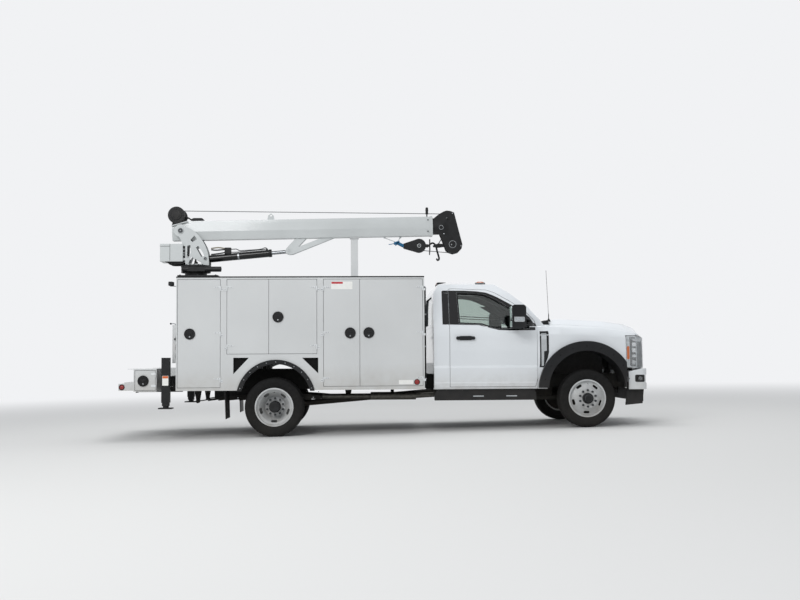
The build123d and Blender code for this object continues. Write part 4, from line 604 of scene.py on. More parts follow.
def filled(form, rings, place):
    """Fills flat rings of points, the first being the outline and the rest its holes."""
    edges = []
    for ring in rings:
        verts = [form.verts.new(place(a, b)) for a, b in ring]
        edges += [form.edges.new((verts[i], verts[(i + 1) % len(verts)])) for i in range(len(verts))]
    bmesh.ops.triangle_fill(form, edges=edges, use_dissolve=True)


def thickened(form, shift):
    made = bmesh.ops.extrude_face_region(form, geom=form.faces[:])["geom"]
    moved = [item for item in made if isinstance(item, bmesh.types.BMVert)]
    bmesh.ops.translate(form, verts=moved, vec=shift)


def pushed(outline, axis, start, end, holes=()):
    """A plate of a flat outline, pushed along x, y or z. Points are the two other coordinates in order."""
    first, second, along = AXES[axis]

    def place(a, b):
        point = [0.0, 0.0, 0.0]
        point[first], point[second], point[along] = a, b, start
        return point

    form = bmesh.new()
    filled(form, (outline, *holes), place)
    shift = Vector((0.0, 0.0, 0.0))
    shift[along] = end - start
    thickened(form, shift)
    return from_form(form)


def turned(profile, centre, axis, steps=32):
    """A solid of (radius, distance) pairs turned round an axis through a level point."""
    first, second, along = AXES[axis]
    form = bmesh.new()
    rings = []
    for radius, distance in profile:
        ring = []
        for k in range(steps if radius > 0 else 1):
            angle = 2 * pi * k / steps
            point = list(centre)
            point[first] += radius * cos(angle)
            point[second] += radius * sin(angle)
            point[along] += distance
            ring.append(form.verts.new(point))
        rings.append(ring)
    for low, high in zip(rings, rings[1:]):
        for k in range(steps):
            corners = [ring[i % len(ring)] for ring, i in ((low, k), (low, k + 1), (high, k + 1), (high, k))]
            face = list(dict.fromkeys(corners))
            if len(face) > 2:
                form.faces.new(face)
    if profile[0] != profile[-1]:
        for ring in (rings[0], rings[-1]):
            if len(ring) > 2:
                form.faces.new(ring)
    return from_form(form)


def bar(points, radius, bend=False):
    """A round bar or hose along level points, with sharp or soft bends."""
    curve = bpy.data.curves.new("bar", "CURVE")
    curve.dimensions = "3D"
    curve.bevel_depth = radius
    curve.bevel_resolution = 2
    curve.resolution_u = 8
    curve.use_fill_caps = True
    spline = curve.splines.new("NURBS" if bend else "POLY")
    spline.points.add(len(points) - 1)
    for place, point in zip(spline.points, points):
        place.co = (*point, 1.0)
    if bend:
        spline.order_u = 3
        spline.use_endpoint_u = True
    return baked(placed("holder", curve))


def plate(used, outline, axis, start, end, rounding=0.0, holes=()):
    return settled(pushed(outline, axis, start, end, holes), used, rounding)


def lathe(used, profile, centre, axis, steps=32, way=1):
    """A turned part with its finish. A way of -1 points the profile back along the axis."""
    return settled(turned([(r, way * distance) for r, distance in profile], centre, axis, steps), used)


def rod(used, points, radius, bend=False):
    return settled(bar(points, radius, bend), used)


def rounded(x0, x1, z0, z1, radius, steps=4):
    """A rectangle's outline with round corners."""
    points = []
    for x, z, start in ((x1, z1, 0), (x0, z1, 90), (x0, z0, 180), (x1, z0, 270)):
        mid_x = x - radius if start in (0, 270) else x + radius
        mid_z = z - radius if start in (0, 90) else z + radius
        for k in range(steps + 1):
            angle = radians(start + 90 * k / steps)
            points.append((mid_x + radius * cos(angle), mid_z + radius * sin(angle)))
    return points


def joined(meshes):
    """Several meshes in one, with each one's own finishes kept."""
    finishes = []
    form = bmesh.new()
    for mesh in meshes:
        first = len(form.faces)
        form.from_mesh(mesh)
        form.faces.ensure_lookup_table()
        for face in form.faces[first:]:
            used = mesh.materials[min(face.material_index, len(mesh.materials) - 1)]
            if used not in finishes:
                finishes.append(used)
            face.material_index = finishes.index(used)
    whole = bpy.data.meshes.new("joined")
    form.to_mesh(whole)
    form.free()
    for used in finishes:
        whole.materials.append(used)
    return whole


def other_side(mesh):
    """The same mesh on the truck's other side, with its faces turned back outwards."""
    twin = mesh.copy()
    twin.transform(Matrix.Scale(-1, 4, (0, 1, 0)))
    twin.flip_normals()
    return twin


def dress(name, node, meshes, stands_for=()):
    return as_piece(name, evened(joined(meshes)), node, stands_for)


def dress_both(name, node, meshes):
    """The same on the right and mirrored on the left. SIDE in the node's name stands for the side."""
    for sided in SIDES:
        twins = meshes if sided == "right" else [other_side(mesh) for mesh in meshes]
        dress(name + "_" + sided, node.replace("SIDE", sided), twins)


print("corners of a rounded plate:", len(rounded(0, 40, 0, 20, 5)))

# %% [markdown]
# Screws, ribs, tread blocks and slats repeat one small form. A Geometry Nodes tree makes the copies: its
# inputs are the number of copies, the step and the turn from one copy to the next, and the finish. Copy
# number n is moved by n steps and turned by n turns about the origin, which gives rows and rings alike.

# %% A tree that repeats a form
REPEATING = bpy.data.node_groups.new("repeated_form", "GeometryNodeTree")
SOCKETS = {"Form": "Geometry", "Copies": "Int", "Step": "Vector", "Turn": "Vector", "Finish": "Material"}
INPUTS = {}
for name, kind in SOCKETS.items():
    socket = REPEATING.interface.new_socket(name, in_out="INPUT", socket_type="NodeSocket" + kind)
    INPUTS[name] = socket.identifier
REPEATING.interface.new_socket("Form", in_out="OUTPUT", socket_type="NodeSocketGeometry")
entry = add(REPEATING, "NodeGroupInput").outputs
number = add(REPEATING, "GeometryNodeInputIndex").outputs["Index"]
SCALE = {"operation": "SCALE"}
place = add(REPEATING, "ShaderNodeVectorMath", SCALE, i0=entry["Step"], Scale=number).outputs["Vector"]
angle = add(REPEATING, "ShaderNodeVectorMath", SCALE, i0=entry["Turn"], Scale=number).outputs["Vector"]
spots = add(REPEATING, "GeometryNodePoints", Count=entry["Copies"], Position=place).outputs[0]
copies = add(
    REPEATING, "GeometryNodeInstanceOnPoints", Points=spots, Instance=entry["Form"], Rotation=angle,
)
real = add(REPEATING, "GeometryNodeRealizeInstances", Geometry=copies.outputs["Instances"])
dressed = add(
    REPEATING, "GeometryNodeSetMaterial", Geometry=real.outputs["Geometry"], Material=entry["Finish"],
)
add(REPEATING, "NodeGroupOutput", Form=dressed.outputs["Geometry"])


def repeated(mesh, copies, used, step=(0, 0, 0), turn=(0, 0, 0)):
    holder = placed("holder", mesh)
    modifier = holder.modifiers.new("repeated", "NODES")
    modifier.node_group = REPEATING
    for name, value in {"Copies": copies, "Step": step, "Turn": turn, "Finish": used}.items():
        modifier[INPUTS[name]] = value
    return baked(holder)


def ring_of(mesh, copies, used, axis, centre):
    """Copies spread over a full circle round an axis. The form is drawn about the origin."""
    turn = [0.0, 0.0, 0.0]
    turn[AXES[axis][2]] = 2 * pi / copies
    ring = repeated(mesh, copies, used, turn=turn)
    ring.transform(LEAN @ Matrix.Translation(centre))
    return ring


def arc_of(mesh, copies, used, pitch, centre, start):
    """Copies along an arc in the side view. pitch and start are in degrees."""
    arc = repeated(mesh, copies, used, turn=(0, -radians(pitch), 0))
    arc.transform(LEAN @ Matrix.Translation(centre) @ Matrix.Rotation(radians(start), 4, "Y"))
    return arc


def row_of(mesh, copies, used, step):
    row = repeated(mesh, copies, used, step=step)
    row.transform(LEAN)
    return row


print("inputs of the tree:", list(INPUTS))

# %% [markdown]
# ## Tyres
# A truck tyre is turned rubber with blocks cut into its tread. The carcass is a lathe profile whose tread
# floor lies 10 mm under the tyre's radius. The blocks are rings of one block each, which start inside the
# carcass. Every second ring is turned by half a block, as on the real casing, and the shoulder blocks lean
# over the edge. A block is flat on top, so it ends a little lower, where its corners reach the radius.

# %% Tyres with tread
TYRE_RADIUS = 398.0
BLOCK_FOOT = 386.0
FLAT_DROP, HALF_GROOVE = 0.6, 3.4
BLOCKS = 54
HALF_CARCASS = [
    (248, 82), (261, 85), (261, 95), (270, 99), (274, 103), (282, 104), (290, 108), (294, 109.5),
    (310, 112), (322, 113), (342, 113), (346, 111.5), (356, 111.5), (362, 108), (374, 103), (384, 97),
    (388, 84), (388, 0),
]


def tread_block(y0, y1, offset, shoulder):
    """One block over the tread floor, about the wheel's centre, turned by part of a block."""
    half = pi * TYRE_RADIUS / BLOCKS - HALF_GROOVE
    top = TYRE_RADIUS - FLAT_DROP
    drop, lean = (12.0, 1) if shoulder else (0.0, 0)
    section = [(y0, BLOCK_FOOT), (y1, BLOCK_FOOT - drop), (y1 + lean, top - drop), (y0, top)]
    block = pushed(section, "x", -half, half)
    block.transform(Matrix.Rotation(2 * pi * offset / BLOCKS, 4, "Y"))
    return block


def tyre_meshes(centre):
    profile = HALF_CARCASS + [(radius, -y) for radius, y in reversed(HALF_CARCASS[:-1])]
    rows = [(-17, 17, 0.0, False), (22, 50, 0.5, False), (-50, -22, 0.5, False), (56, 97, 0.0, True)]
    blocks = [tread_block(*row) for row in rows]
    blocks.append(other_side(blocks[-1]))
    rings = [ring_of(block, BLOCKS, tyre_rubber, "y", centre) for block in blocks]
    return [lathe(tyre_rubber, profile + [profile[0]], centre, "y", 72), *rings]


for sided in SIDES:
    node = "front_tyre_" + sided
    dress("front_tread_" + sided, node, tyre_meshes(hub_centre(node)), [node])
    node = "rear_tyres_" + sided
    twins = [tyre_meshes(hub_centre(node) + Vector((0, shift, 0))) for shift in (-136, 136)]
    dress("rear_tread_" + sided, node, sum(twins, []), [node])
print("tread blocks on one tyre:", BLOCKS * 5)

# %% [markdown]
# The front wheels' hand holes show the brake's splash shield, a thin pressed dish that stays with the
# steering knuckle while the wheel turns. Each wheel has a tyre valve, and a ring of small ribs and a turned
# cap finish the hub.

# %% Splash shields, hub caps and valves
centre = hub_centre("front_tyre_right") + Vector((0, 36, 0))
shield = [(64, 0), (70, 4), (214, 4), (226, -8), (228, -8), (228, -5), (216, 8), (68, 8), (62, 4), (64, 0)]
dress_both("splash_shield", "knuckle_SIDE", [lathe(frame_black, shield, centre, "y", 48)])

CAPS = (("front_rim_", 52, 10, pin_steel), ("rear_rims_", 70, 16, crane_black))
for axle, radius, ribs, cap_finish in CAPS:
    low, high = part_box(axle + "right")
    face_y = (LEVEL @ Vector(low)).y
    centre = hub_centre(axle + "right")
    centre.y = face_y
    cap = [(radius, 3), (radius - 3, 0.5), (radius * 0.6, 0.2), (radius * 0.55, 2), (0, 2)]
    low, high = radius * 0.62, radius - 5
    rib = pushed([(-3, low), (3, low), (3, high), (-3, high)], "y", 0.2, 2)
    dress_both(axle + "cap", axle + "SIDE", [
        lathe(cap_finish, cap, centre, "y"),
        ring_of(rib, ribs, crane_black, "y", centre),
        rod(moulded_black, [centre + Vector((0, 60, 205)), centre + Vector((0, 20, 196))], 4),
    ])
    print(axle + "cap stands at y", round(face_y, 1))

# %% [markdown]
# ## The cab's side
# A black band frames the side window and runs back over the corner post. On the real door it is a gloss
# film and a rubber seal, a millimetre proud of the paint. Its outline is cut flat, sliced into a grid and
# cast sideways onto the door with rays, so that it follows the door's lean and curve exactly.

# %% Sheets cast onto a panel
FAR_OFF, JUST_OFF = 3000, 900


def caster(towards, *nodes, widest=2000.0):
    """Finds where a ray in the direction towards meets solids, skipping faces that reach past widest."""
    verts = []
    faces = []
    for node in nodes:
        mesh = frame["nodes"][node].data
        base = len(verts)
        verts += [LEVEL @ v.co for v in mesh.vertices]
        for polygon in mesh.polygons:
            corners = [base + i for i in polygon.vertices]
            if max(abs(verts[i].y) for i in corners) < widest:
                faces.append(corners)
    tree = BVHTree.FromPolygons(verts, faces)
    towards = Vector(towards)

    def cast(point, proud=0.0):
        point = Vector(point)
        hit = tree.ray_cast(point - towards * FAR_OFF, towards)[0]
        if hit is None:
            near = tree.find_nearest(point - towards * JUST_OFF)[0]
            hit = point + towards * (near.dot(towards) - point.dot(towards))
        return hit - towards * proud
    return cast


def laid(used, outline, cast, proud, thickness=3.0, holes=(), step=45.0):
    """A sheet cut to level (x, z) points and cast sideways onto a panel."""
    form = bmesh.new()
    filled(form, (outline, *holes), lambda a, b: (a, 0.0, b))
    for axis in (0, 2):
        spread = [v.co[axis] for v in form.verts]
        low, width = min(spread), max(spread) - min(spread)
        cuts = int(width / step)
        for k in range(1, cuts + 1):
            at, way = [0.0, 0.0, 0.0], [0.0, 0.0, 0.0]
            at[axis], way[axis] = low + width * k / (cuts + 1), 1.0
            whole = form.verts[:] + form.edges[:] + form.faces[:]
            bmesh.ops.bisect_plane(form, geom=whole, plane_co=at, plane_no=way)
    for vert in form.verts:
        vert.co = cast(vert.co, proud)
    thickened(form, Vector((0.0, thickness, 0.0)))
    return settled(from_form(form), used)


def grown(outline, by):
    """An outline moved outwards by some millimetres, or inwards for a negative value."""
    after, before = outline[1:] + outline[:1], outline[-1:] + outline[:-1]
    area = sum(a[0] * b[1] - b[0] * a[1] for a, b in zip(outline, after))
    turn = 1 if area > 0 else -1
    points = []
    for last, here, following in zip(before, outline, after):
        one = (Vector(here) - Vector(last)).normalized()
        two = (Vector(following) - Vector(here)).normalized()
        normal = (Vector((one.y + two.y, -one.x - two.x)) * turn).normalized()
        sharp = max(0.4, normal.dot(Vector((one.y, -one.x)) * turn))
        points.append((here[0] + normal.x * by / sharp, here[1] + normal.y * by / sharp))
    return points


print("a square of 10 mm grown by 1 mm:", grown([(0, 0), (10, 0), (10, 10), (0, 10)], 1))

# %% [markdown]
# The band comes in two parts, because the door opens and the post stays. A thick rubber strip fills the
# step from the door's skin down to the glass.

# %% The band round the side window
GLASS_EDGE = [
    (2535, 1522), (2511, 1962), (2783, 1952), (2905, 1934), (3010, 1890), (3244, 1752), (3440, 1606),
    (3500, 1535), (3515, 1452), (3097, 1448), (2986, 1462), (2853, 1508),
]
BAND = [
    (2402.4, 1509), (2402.4, 1990), (2600, 1989), (2790, 1980), (2930, 1960), (3030, 1920), (3092, 1890),
    (3278, 1786), (3430, 1692), (3530, 1602), (3590, 1500), (3592, 1425), (3208, 1424), (3080, 1430),
    (2970, 1457), (2812, 1500),
]
POST_BAND = [(2304, 1509), (2304, 1972), (2312, 1986), (2326, 1990), (2395.5, 1990), (2395.5, 1509)]
INWARD = (0, 1, 0)
on_door = caster(INWARD, "cab_door_right", widest=1030.0)
on_glass = caster(INWARD, "door_glass_right")
on_shell = caster(INWARD, "cab_shell")
band = laid(gloss_black, BAND, on_door, 1.2, holes=[grown(GLASS_EDGE, 1.0)])
seal = laid(seal_rubber, grown(GLASS_EDGE, -1.0), on_glass, 15.0, 14.0, [grown(GLASS_EDGE, -17.0)])
dress_both("window_band", "cab_door_SIDE", [band, seal])
dress_both("post_band", "cab_shell", [laid(gloss_black, POST_BAND, on_shell, 1.2)])
print("band faces:", len(band.polygons), "seal faces:", len(seal.polygons))

# %% [markdown]
# The handle is a moulded strap on two feet over a shallow dish, whose hollow is a dark sheet of painted
# shade on the door. The mirror's shell holds a flat glass above a curved one on its rear face, with a clear
# lamp let into its outer side.

# %% Door handle and mirror
handle_y = on_door((2616, 0, 1320)).y
strap = rounded(2486, 2747, 1296, 1343, 18)
feet = [rounded(x, x + 44, 1300, 1339, 14) for x in (2488, 2701)]
dress_both("door_handle", "cab_door_SIDE", [
    # The dark sheet under the handle is painted shade for the dish's hollow.
    laid(shadow_black, rounded(2520, 2715, 1290, 1350, 28), on_door, 0.6, 2.0),
    plate(moulded_black, strap, "y", handle_y - 33, handle_y - 17, 4.0),
    *[plate(moulded_black, foot, "y", handle_y - 20, handle_y + 5, 4.0) for foot in feet],
])
dress_both("mirror_glass", "cab_door_SIDE", [
    plate(mirror_silver, rounded(-1284, -1101, 1560, 1748, 24), "x", 3222, 3226, 1.0),
    plate(mirror_silver, rounded(-1284, -1101, 1462, 1546, 20), "x", 3222, 3226, 1.0),
    plate(bright_trim, rounded(3252, 3396, 1532, 1600, 14), "y", -1297.5, -1290, 1.5),
    plate(lamp_lens, rounded(3260, 3388, 1541, 1591, 10), "y", -1299.5, -1292, 1.0),
])
print("the handle stands on the door at y", round(handle_y, 1))

# %% [markdown]
# The vent behind the wheel arch is a black frame with a smooth light insert. Both are cast onto the wing,
# the insert a little prouder than the frame. Three bowls behind each front lens throw its light. A fog lamp
# fills the bumper's front pocket, and a smaller one lights the side.

# %% Wing vents, side markers and front lamps
VENT = [
    (3650, 1409), (3770, 1412), (3774, 1380), (3774, 1120), (3755, 1040), (3722, 962), (3700, 912),
    (3640, 912), (3646, 962), (3650, 1100),
]
VENT_INSERT = [(3668, 1380), (3742, 1382), (3744, 1140), (3706, 1132), (3700, 930), (3668, 930), (3669, 1060)]
LAMP_BOWL = [(0, 44), (38, 40), (44, 10), (47, 0), (44, 2), (20, 30), (0, 36)]
on_wing = caster(INWARD, "front_wings")
on_lamp = caster(INWARD, "headlamps")
on_bumper = caster(INWARD, "front_bumper")
dress_both("wing_vent", "front_wings", [
    laid(moulded_black, VENT, on_wing, 2.5, 4.0), laid(bright_trim, VENT_INSERT, on_wing, 4.0, 3.0),
])
bezel_hole = rounded(4906, 4998, 918, 1325, 16)
dress_both("lamp_inside", "headlamps", [
    laid(amber_lens, rounded(4864, 4900, 1014, 1196, 14), on_lamp, 1.2, 3.0),
    laid(bright_trim, rounded(4858, 5010, 905, 1338, 20), on_lamp, 0.6, 2.0, [bezel_hole]),
    *[lathe(mirror_silver, LAMP_BOWL, (5060, -760, z), "x", 28) for z in (1010, 1125, 1240)],
])
fog = (5046, on_bumper((5046, 0, 750)).y, 750)
beam = (5112, -910, 750)
dress_both("fog_lamp", "front_bumper", [
    laid(moulded_black, rounded(4972, 5108, 700, 800, 18), on_bumper, 2.5, 4.0, step=20),
    lathe(lamp_lens, [(0, -8), (24, -7), (30, -3), (31, 0), (0, 0)], fog, "y", 28),
    lathe(gloss_black, [(30.4, 0), (30.4, -6), (35, -9), (40, -7), (42, 0), (30.4, 0)], fog, "y", 28),
    plate(moulded_black, rounded(-980, -852, 697, 803, 6), "x", 5100, 5112),
    lathe(lamp_lens, [(0, 24), (22, 22), (35, 14), (40, 4), (40, 0), (0, 0)], beam, "x"),
    lathe(gloss_black, [(39, 0), (39, 12), (46, 15), (50, 0), (39, 0)], beam, "x"),
])
print("the fog lamp stands on the bumper at y", round(fog[1], 1))

# %% [markdown]
# The sill has a tread board with two bright wear strips. The wheel arch flares are held by a few black
# screws.

# %% Tread boards and arch screws
tread = [(-958, 463.5), (-875, 463.5), (-875, 466), (-958, 466)]
dress_both("tread_board", "black_trim", [
    plate(moulded_black, tread, "x", 2440, 3590),
    *[plate(bright_trim, rounded(x, x + 150, 512, 527, 6), "y", -962.5, -959, 0.8) for x in (2719, 3180)],
])
screw = turned([(0, -1089), (5, -1088.5), (7, -1086.5), (8, -1084.5), (0, -1084.5)], (600, 0, 0), "y", 10)
screws = arc_of(screw, 9, shadow_black, 19, (4290, 0, 603), -14)
dress_both("arch_screws", "black_trim", [screws])
print("faces on the arch screws:", len(screws.polygons))

# %% [markdown]
# ## Roof and screen
# The roof carries five amber markers, which wide trucks must have, and a stop lamp in a black pod at its
# rear edge. Each marker stands where a ray from above meets the roof.

# %% Roof lamps
MARKER = (
    (amber_lens, [(0, 26), (14, 25), (26, 19), (36, 8), (42, 0), (42, -8), (0, -8)], (1.7, 0.8, 0.8, 1)),
    (moulded_black, [(0, 6), (40, 6), (46, 0), (46, -10), (0, -10)], (1.65, 0.85, 0.8, 1)),
)
onto_roof = caster((0, 0, -1), "cab_shell")
for k, y in enumerate((-520, -170, 0, 170, 520)):
    spot = Matrix.Translation(onto_roof((2885, y, 0)))
    parts = []
    for used, profile, stretch in MARKER:
        lamp = turned(profile, (0, 0, 0), "z", 24)
        lamp.transform(spot @ Matrix.Diagonal(stretch))
        parts.append(settled(lamp, used))
    dress("roof_marker_%d" % (k + 1), "cab_shell", parts)

pod_z = onto_roof((2378, 0, 0)).z
pod = [(2295, pod_z - 22), (2461, pod_z - 6), (2455, pod_z + 8), (2425, 2152), (2310, 2154), (2296, 2146)]
dress("stop_lamp_pod", "cab_shell", [
    plate(moulded_black, pod, "y", -150, 150, 8.0),
    plate(red_lens, rounded(-120, 120, 2128, 2148, 8), "x", 2292, 2299, 1.5),
])
print("the roof under the pod is at z", round(pod_z, 1))

# %% [markdown]
# The wipers rest on the screen. Their blades follow the glass, found with rays from the front. The panel
# under them has rows of slots for the cab's fresh air, drawn as dark strips of painted shade.

# %% Wipers and the panel under the screen
onto_screen = caster((-1, 0, 0), "cab_glass")
parts = []
for pivot_y, start, end in ((-560, -590, -60), (120, 90, 600)):
    blade = [onto_screen((0, y, 1655 + 10 * k), 9) for k, y in enumerate((start, (start + end) / 2, end))]
    pivot = Vector((3700, pivot_y, 1545))
    arm = [pivot, pivot + Vector((-10, 30, 35)), blade[1] + Vector((14, 0, 4))]
    parts += [
        rod(seal_rubber, blade, 7), rod(moulded_black, arm, 6),
        lathe(moulded_black, [(0, 18), (16, 16), (20, 0), (20, -24), (0, -24)], pivot, "z", 20),
    ]
# Each slot is a dark strip of painted shade on the black panel.
slot_shade_strip = pushed([(3648, 1514), (3772, 1564), (3772, 1569), (3648, 1519)], "y", -780, -772)
parts.append(row_of(slot_shade_strip, 66, shadow_black, (0, 24, 0)))
dress("wipers", "cab_shell", parts)

foot = [(0, 30), (9, 28), (14, 14), (22, 4), (24, -18), (0, -18)]
coil = [(5, 0), (6, 4), (6, 60), (4, 66), (0, 66), (0, 0)]
dress("antenna", "front_wings", [
    lathe(moulded_black, foot, (3801, -880, 1562), "z", 20),
    rod(moulded_black, [(3801, -880, 1585), (3796, -880, 1700), (3771, -880, 2263)], 2.6),
    lathe(moulded_black, coil, (3800, -880, 1590), "z", 12),
])
print("the last blade's middle:", tuple(round(v, 1) for v in blade[1]))

# %% [markdown]
# Behind the grille's bars sits a fine black mesh, and the radiator's fins lie behind it. Both are one bar
# repeated, the mesh upwards and the fins across.

# %% Grille mesh and radiator fins
mesh_bar = bar([(5108, -590, 950), (5108, 590, 950)], 3)
fin = pushed([(-400, 910), (-397, 910), (-397, 1240), (-400, 1240)], "x", 4959, 4968)
dress("grille_mesh", "grille", [row_of(mesh_bar, 17, shadow_black, (0, 0, 19))])
dress("radiator_fins", "cab_shell", [row_of(fin, 80, pin_steel, (0, 10, 0))])

# %% [markdown]
# ## The service body
# Each compartment door is shut by a paddle latch: a folding T in a black dish, over a plated lock. Three
# screws hold a hinge's leaf on the door and two its leaf on the post. One right-hand set is drawn and
# mirrored.

# %% Latches and hinge screws
PANEL_Y = -1200
THREE_HINGES = (770, 1387, 2001)
TWO_HINGES = (1213, 2001)
HINGED = {
    "a": (-718, -1, THREE_HINGES), "b": (-636, 1, TWO_HINGES), "c": (580, -1, TWO_HINGES),
    "d": (664, 1, THREE_HINGES), "e": (2017, -1, THREE_HINGES),
}
LATCH_RING = [(76, 0), (76, -9), (72, -13.5), (66, -13.5), (64, -11), (64, 0)]
LATCH_LOCK = [(9, -6), (9, -13), (7, -14), (2.5, -14), (2.5, -12.6), (0, -12.6)]
SCREW_HEAD = [(0, -8.4), (3.5, -7.8), (5.2, -5.8), (5.6, -4.8), (0, -4.8)]


def paddle(x, z, panel_y):
    """A T handle with its lock, in the dish that stands proud of a panel."""
    cross, stem = rounded(x - 40, x + 40, z + 2, z + 24, 8), rounded(x - 11, x + 11, z - 26, z + 8, 6)
    return [
        plate(moulded_black, cross, "y", panel_y - 15, panel_y - 7, 2.0),
        plate(moulded_black, stem, "y", panel_y - 13, panel_y - 5, 2.0),
        lathe(gloss_black, LATCH_RING, (x, panel_y, z), "y", 8),
        lathe(zinc_steel, LATCH_LOCK, (x, panel_y, z - 40), "y", 16),
    ]


def hinge_screws(x, z, count, step):
    return row_of(turned(SCREW_HEAD, (x, PANEL_Y, z), "y", 10), count, zinc_steel, (step, 0, 0))


post_screws = []
for letter, (edge, onto, heights) in HINGED.items():
    parts = paddle(*LATCHES[letter], PANEL_Y) if LATCHES[letter] else []
    for z in heights:
        parts.append(hinge_screws(edge + onto * 24, z + 16, 3, onto * 22))
        if letter != "e":
            post_screws.append(hinge_screws(edge - onto * 12, z - 16, 2, onto * -13))
    dress_both("door_fittings_" + letter, "body_door_%s_SIDE" % letter, parts)
dress_both("box_fittings", "box_door_SIDE", paddle(*BOX_LATCH, -1150))
dress_both("post_screws", "service_body", post_screws)
print("doors with fittings on a side:", len(HINGED) + 1)

# %% [markdown]
# The roof's edge has a dark rubber drip rail. The arch is trimmed with a ring of screws, and the lower
# corner carries a red reflector. The small vinyl labels are plain fields of colour, a tenth of a millimetre
# thick on the real truck.

# %% Drip rail, arch screws, reflector and labels
rail = [(-1203, 2150), (-1199, 2150), (-1199, 2163.5), (-1190, 2163.5), (-1190, 2166), (-1203, 2166)]
dress_both("drip_rail", "service_body", [plate(seal_rubber, rail, "x", -1313, 2038)])

screw = turned([(0, -1227), (6, -1226.2), (8, -1224), (8.5, -1221.5), (0, -1221.5)], (504, 0, 0), "y", 10)
screws = arc_of(screw, 13, zinc_steel, 14.5, (25, 0, 503), -3)
dress_both("rim_screws", "black_trim", [screws])

reflector = (1931, PANEL_Y, 725)
dress_both("corner_marks", "service_body", [
    lathe(red_lens, [(0, -7), (30, -6), (33, -3), (34, 0.4), (0, 0.4)], reflector, "y", 28),
    lathe(moulded_black, [(33, 0), (33, -5), (35, -7), (38, -6), (40, 0)], reflector, "y", 28),
    plate(label_white, rounded(1684, 1880, 697, 753, 6), "y", -1200.9, -1199.5),
])
dress("door_label", "body_door_d_right", [
    plate(label_white, rounded(772, 1060, 1988, 2092, 6), "y", -1200.9, -1199.5),
    plate(label_red, rounded(776, 930, 2062, 2088, 4), "y", -1201.3, -1200.2),
])
dress_both("leg_label", "outrigger_beam_SIDE", [
    plate(label_white, rounded(-1492, -1411, 700, 830, 5), "y", -1192.8, -1191.6),
    plate(label_orange, rounded(-1489, -1414, 796, 827, 4), "y", -1193.2, -1192.2),
])
print("faces on the ring of arch screws:", len(screws.polygons))

# %% [markdown]
# The corners over the wheel arch are open triangles, boxed in behind with black sheet.

# %% Boxes behind the arch's triangles
TRIANGLES = ([(-560, 1083), (-318, 1083), (-560, 822)], [(360, 1083), (611, 1083), (611, 826)])
for number, corners in enumerate(TRIANGLES):
    dress_both("arch_box_%d" % (number + 1), "service_body", [
        plate(shadow_black, corners, "y", -1160, -1157),
        plate(shadow_black, corners, "y", -1174, -1159.5, holes=[grown(corners, -6)]),
    ])
print("arch boxes on a side:", len(TRIANGLES))

# %% [markdown]
# The tailgate folds down on pins. A black slam bolt locks its edge, a plated lever releases it, and its
# rear face has a pull handle. Beside it each rear corner has three round lamps in rubber rings, as the law
# asks of a truck.

# %% Tailgate fittings and tail lamps
bolt = [(0, -16), (9, -15), (12, -12), (12, 0), (0, 0)]
lever = [(-1352, -1010, 1516), (-1352, -1010, 1532), (-1372, -1010, 1538), (-1410, -1010, 1536)]
knob = [(0, -14), (10, -8), (13, 0), (10, 8), (0, 14)]
parts = [
    lathe(moulded_black, bolt, (-1352, -1030, 1325), "y", 18), rod(zinc_steel, lever, 7),
    lathe(moulded_black, knob, (-1412, -1010, 1536), "x", 16),
]
pull = plate(moulded_black, rounded(-110, 110, 1400, 1440, 14), "x", -1394, -1381, 3.0)
dress("tailgate_fittings", "tailgate", [*parts, *[other_side(mesh) for mesh in parts], pull])

for number, (z, lens) in enumerate(((1330, red_lens), (1210, amber_lens), (1090, lamp_lens))):
    dress_both("tail_lamp_%d" % (number + 1), "service_body", [
        lathe(lens, [(0, -12), (38, -10), (48, -5), (50, 0), (0, 0)], (-1312, -1110, z), "x"),
        lathe(seal_rubber, [(49, 0), (49, -7), (53, -11), (60, -8), (62, 0)], (-1312, -1110, z), "x"),
    ])

side_lamp = (-2037, -1150, 680)
side_ring = [(29.4, 0), (29.4, -5), (33, -8), (38, -6), (39, 0), (29.4, 0)]
dress_both("bumper_lamp", "rear_bumper", [
    lathe(red_lens, [(0, -9), (24, -8), (29, -4), (30, 0), (0, 0)], side_lamp, "y", 28),
    lathe(seal_rubber, side_ring, side_lamp, "y", 28),
])
print("tail lamps on a side:", number + 1)

# %% [markdown]
# A small work lamp looks back from each top corner on a bent bracket. Its cast housing has cooling fins.

# %% Work lamps
fin = pushed([(-1366, 2048), (-1356, 2048), (-1356, 2096), (-1366, 2096)], "y", -1172, -1169)
bracket = [(-1400, 2036), (-1312, 2036), (-1312, 2012), (-1306, 2012), (-1306, 2042), (-1400, 2042)]
fins = row_of(fin, 8, moulded_black, (0, 11, 0))
dress_both("work_lamp", "service_body", [
    plate(moulded_black, rounded(-1420, -1366, 2044, 2100, 6), "y", -1176, -1092, 3.0),
    plate(lamp_lens, rounded(-1170, -1098, 2050, 2094, 5), "x", -1424, -1419, 1.0),
    fins,
    plate(crane_black, bracket, "y", -1150, -1118, 1.0),
    rod(zinc_steel, [(-1393, -1134, 2036), (-1393, -1134, 2050)], 8),
])
print("faces on a work lamp's fins:", len(fins.polygons))

# %% [markdown]
# In the gap behind the cab two ribbed conduits and a grey cable duct run down the body's front wall to the
# frame. A conduit's ribs are rings on a straight tube, one ring repeated.

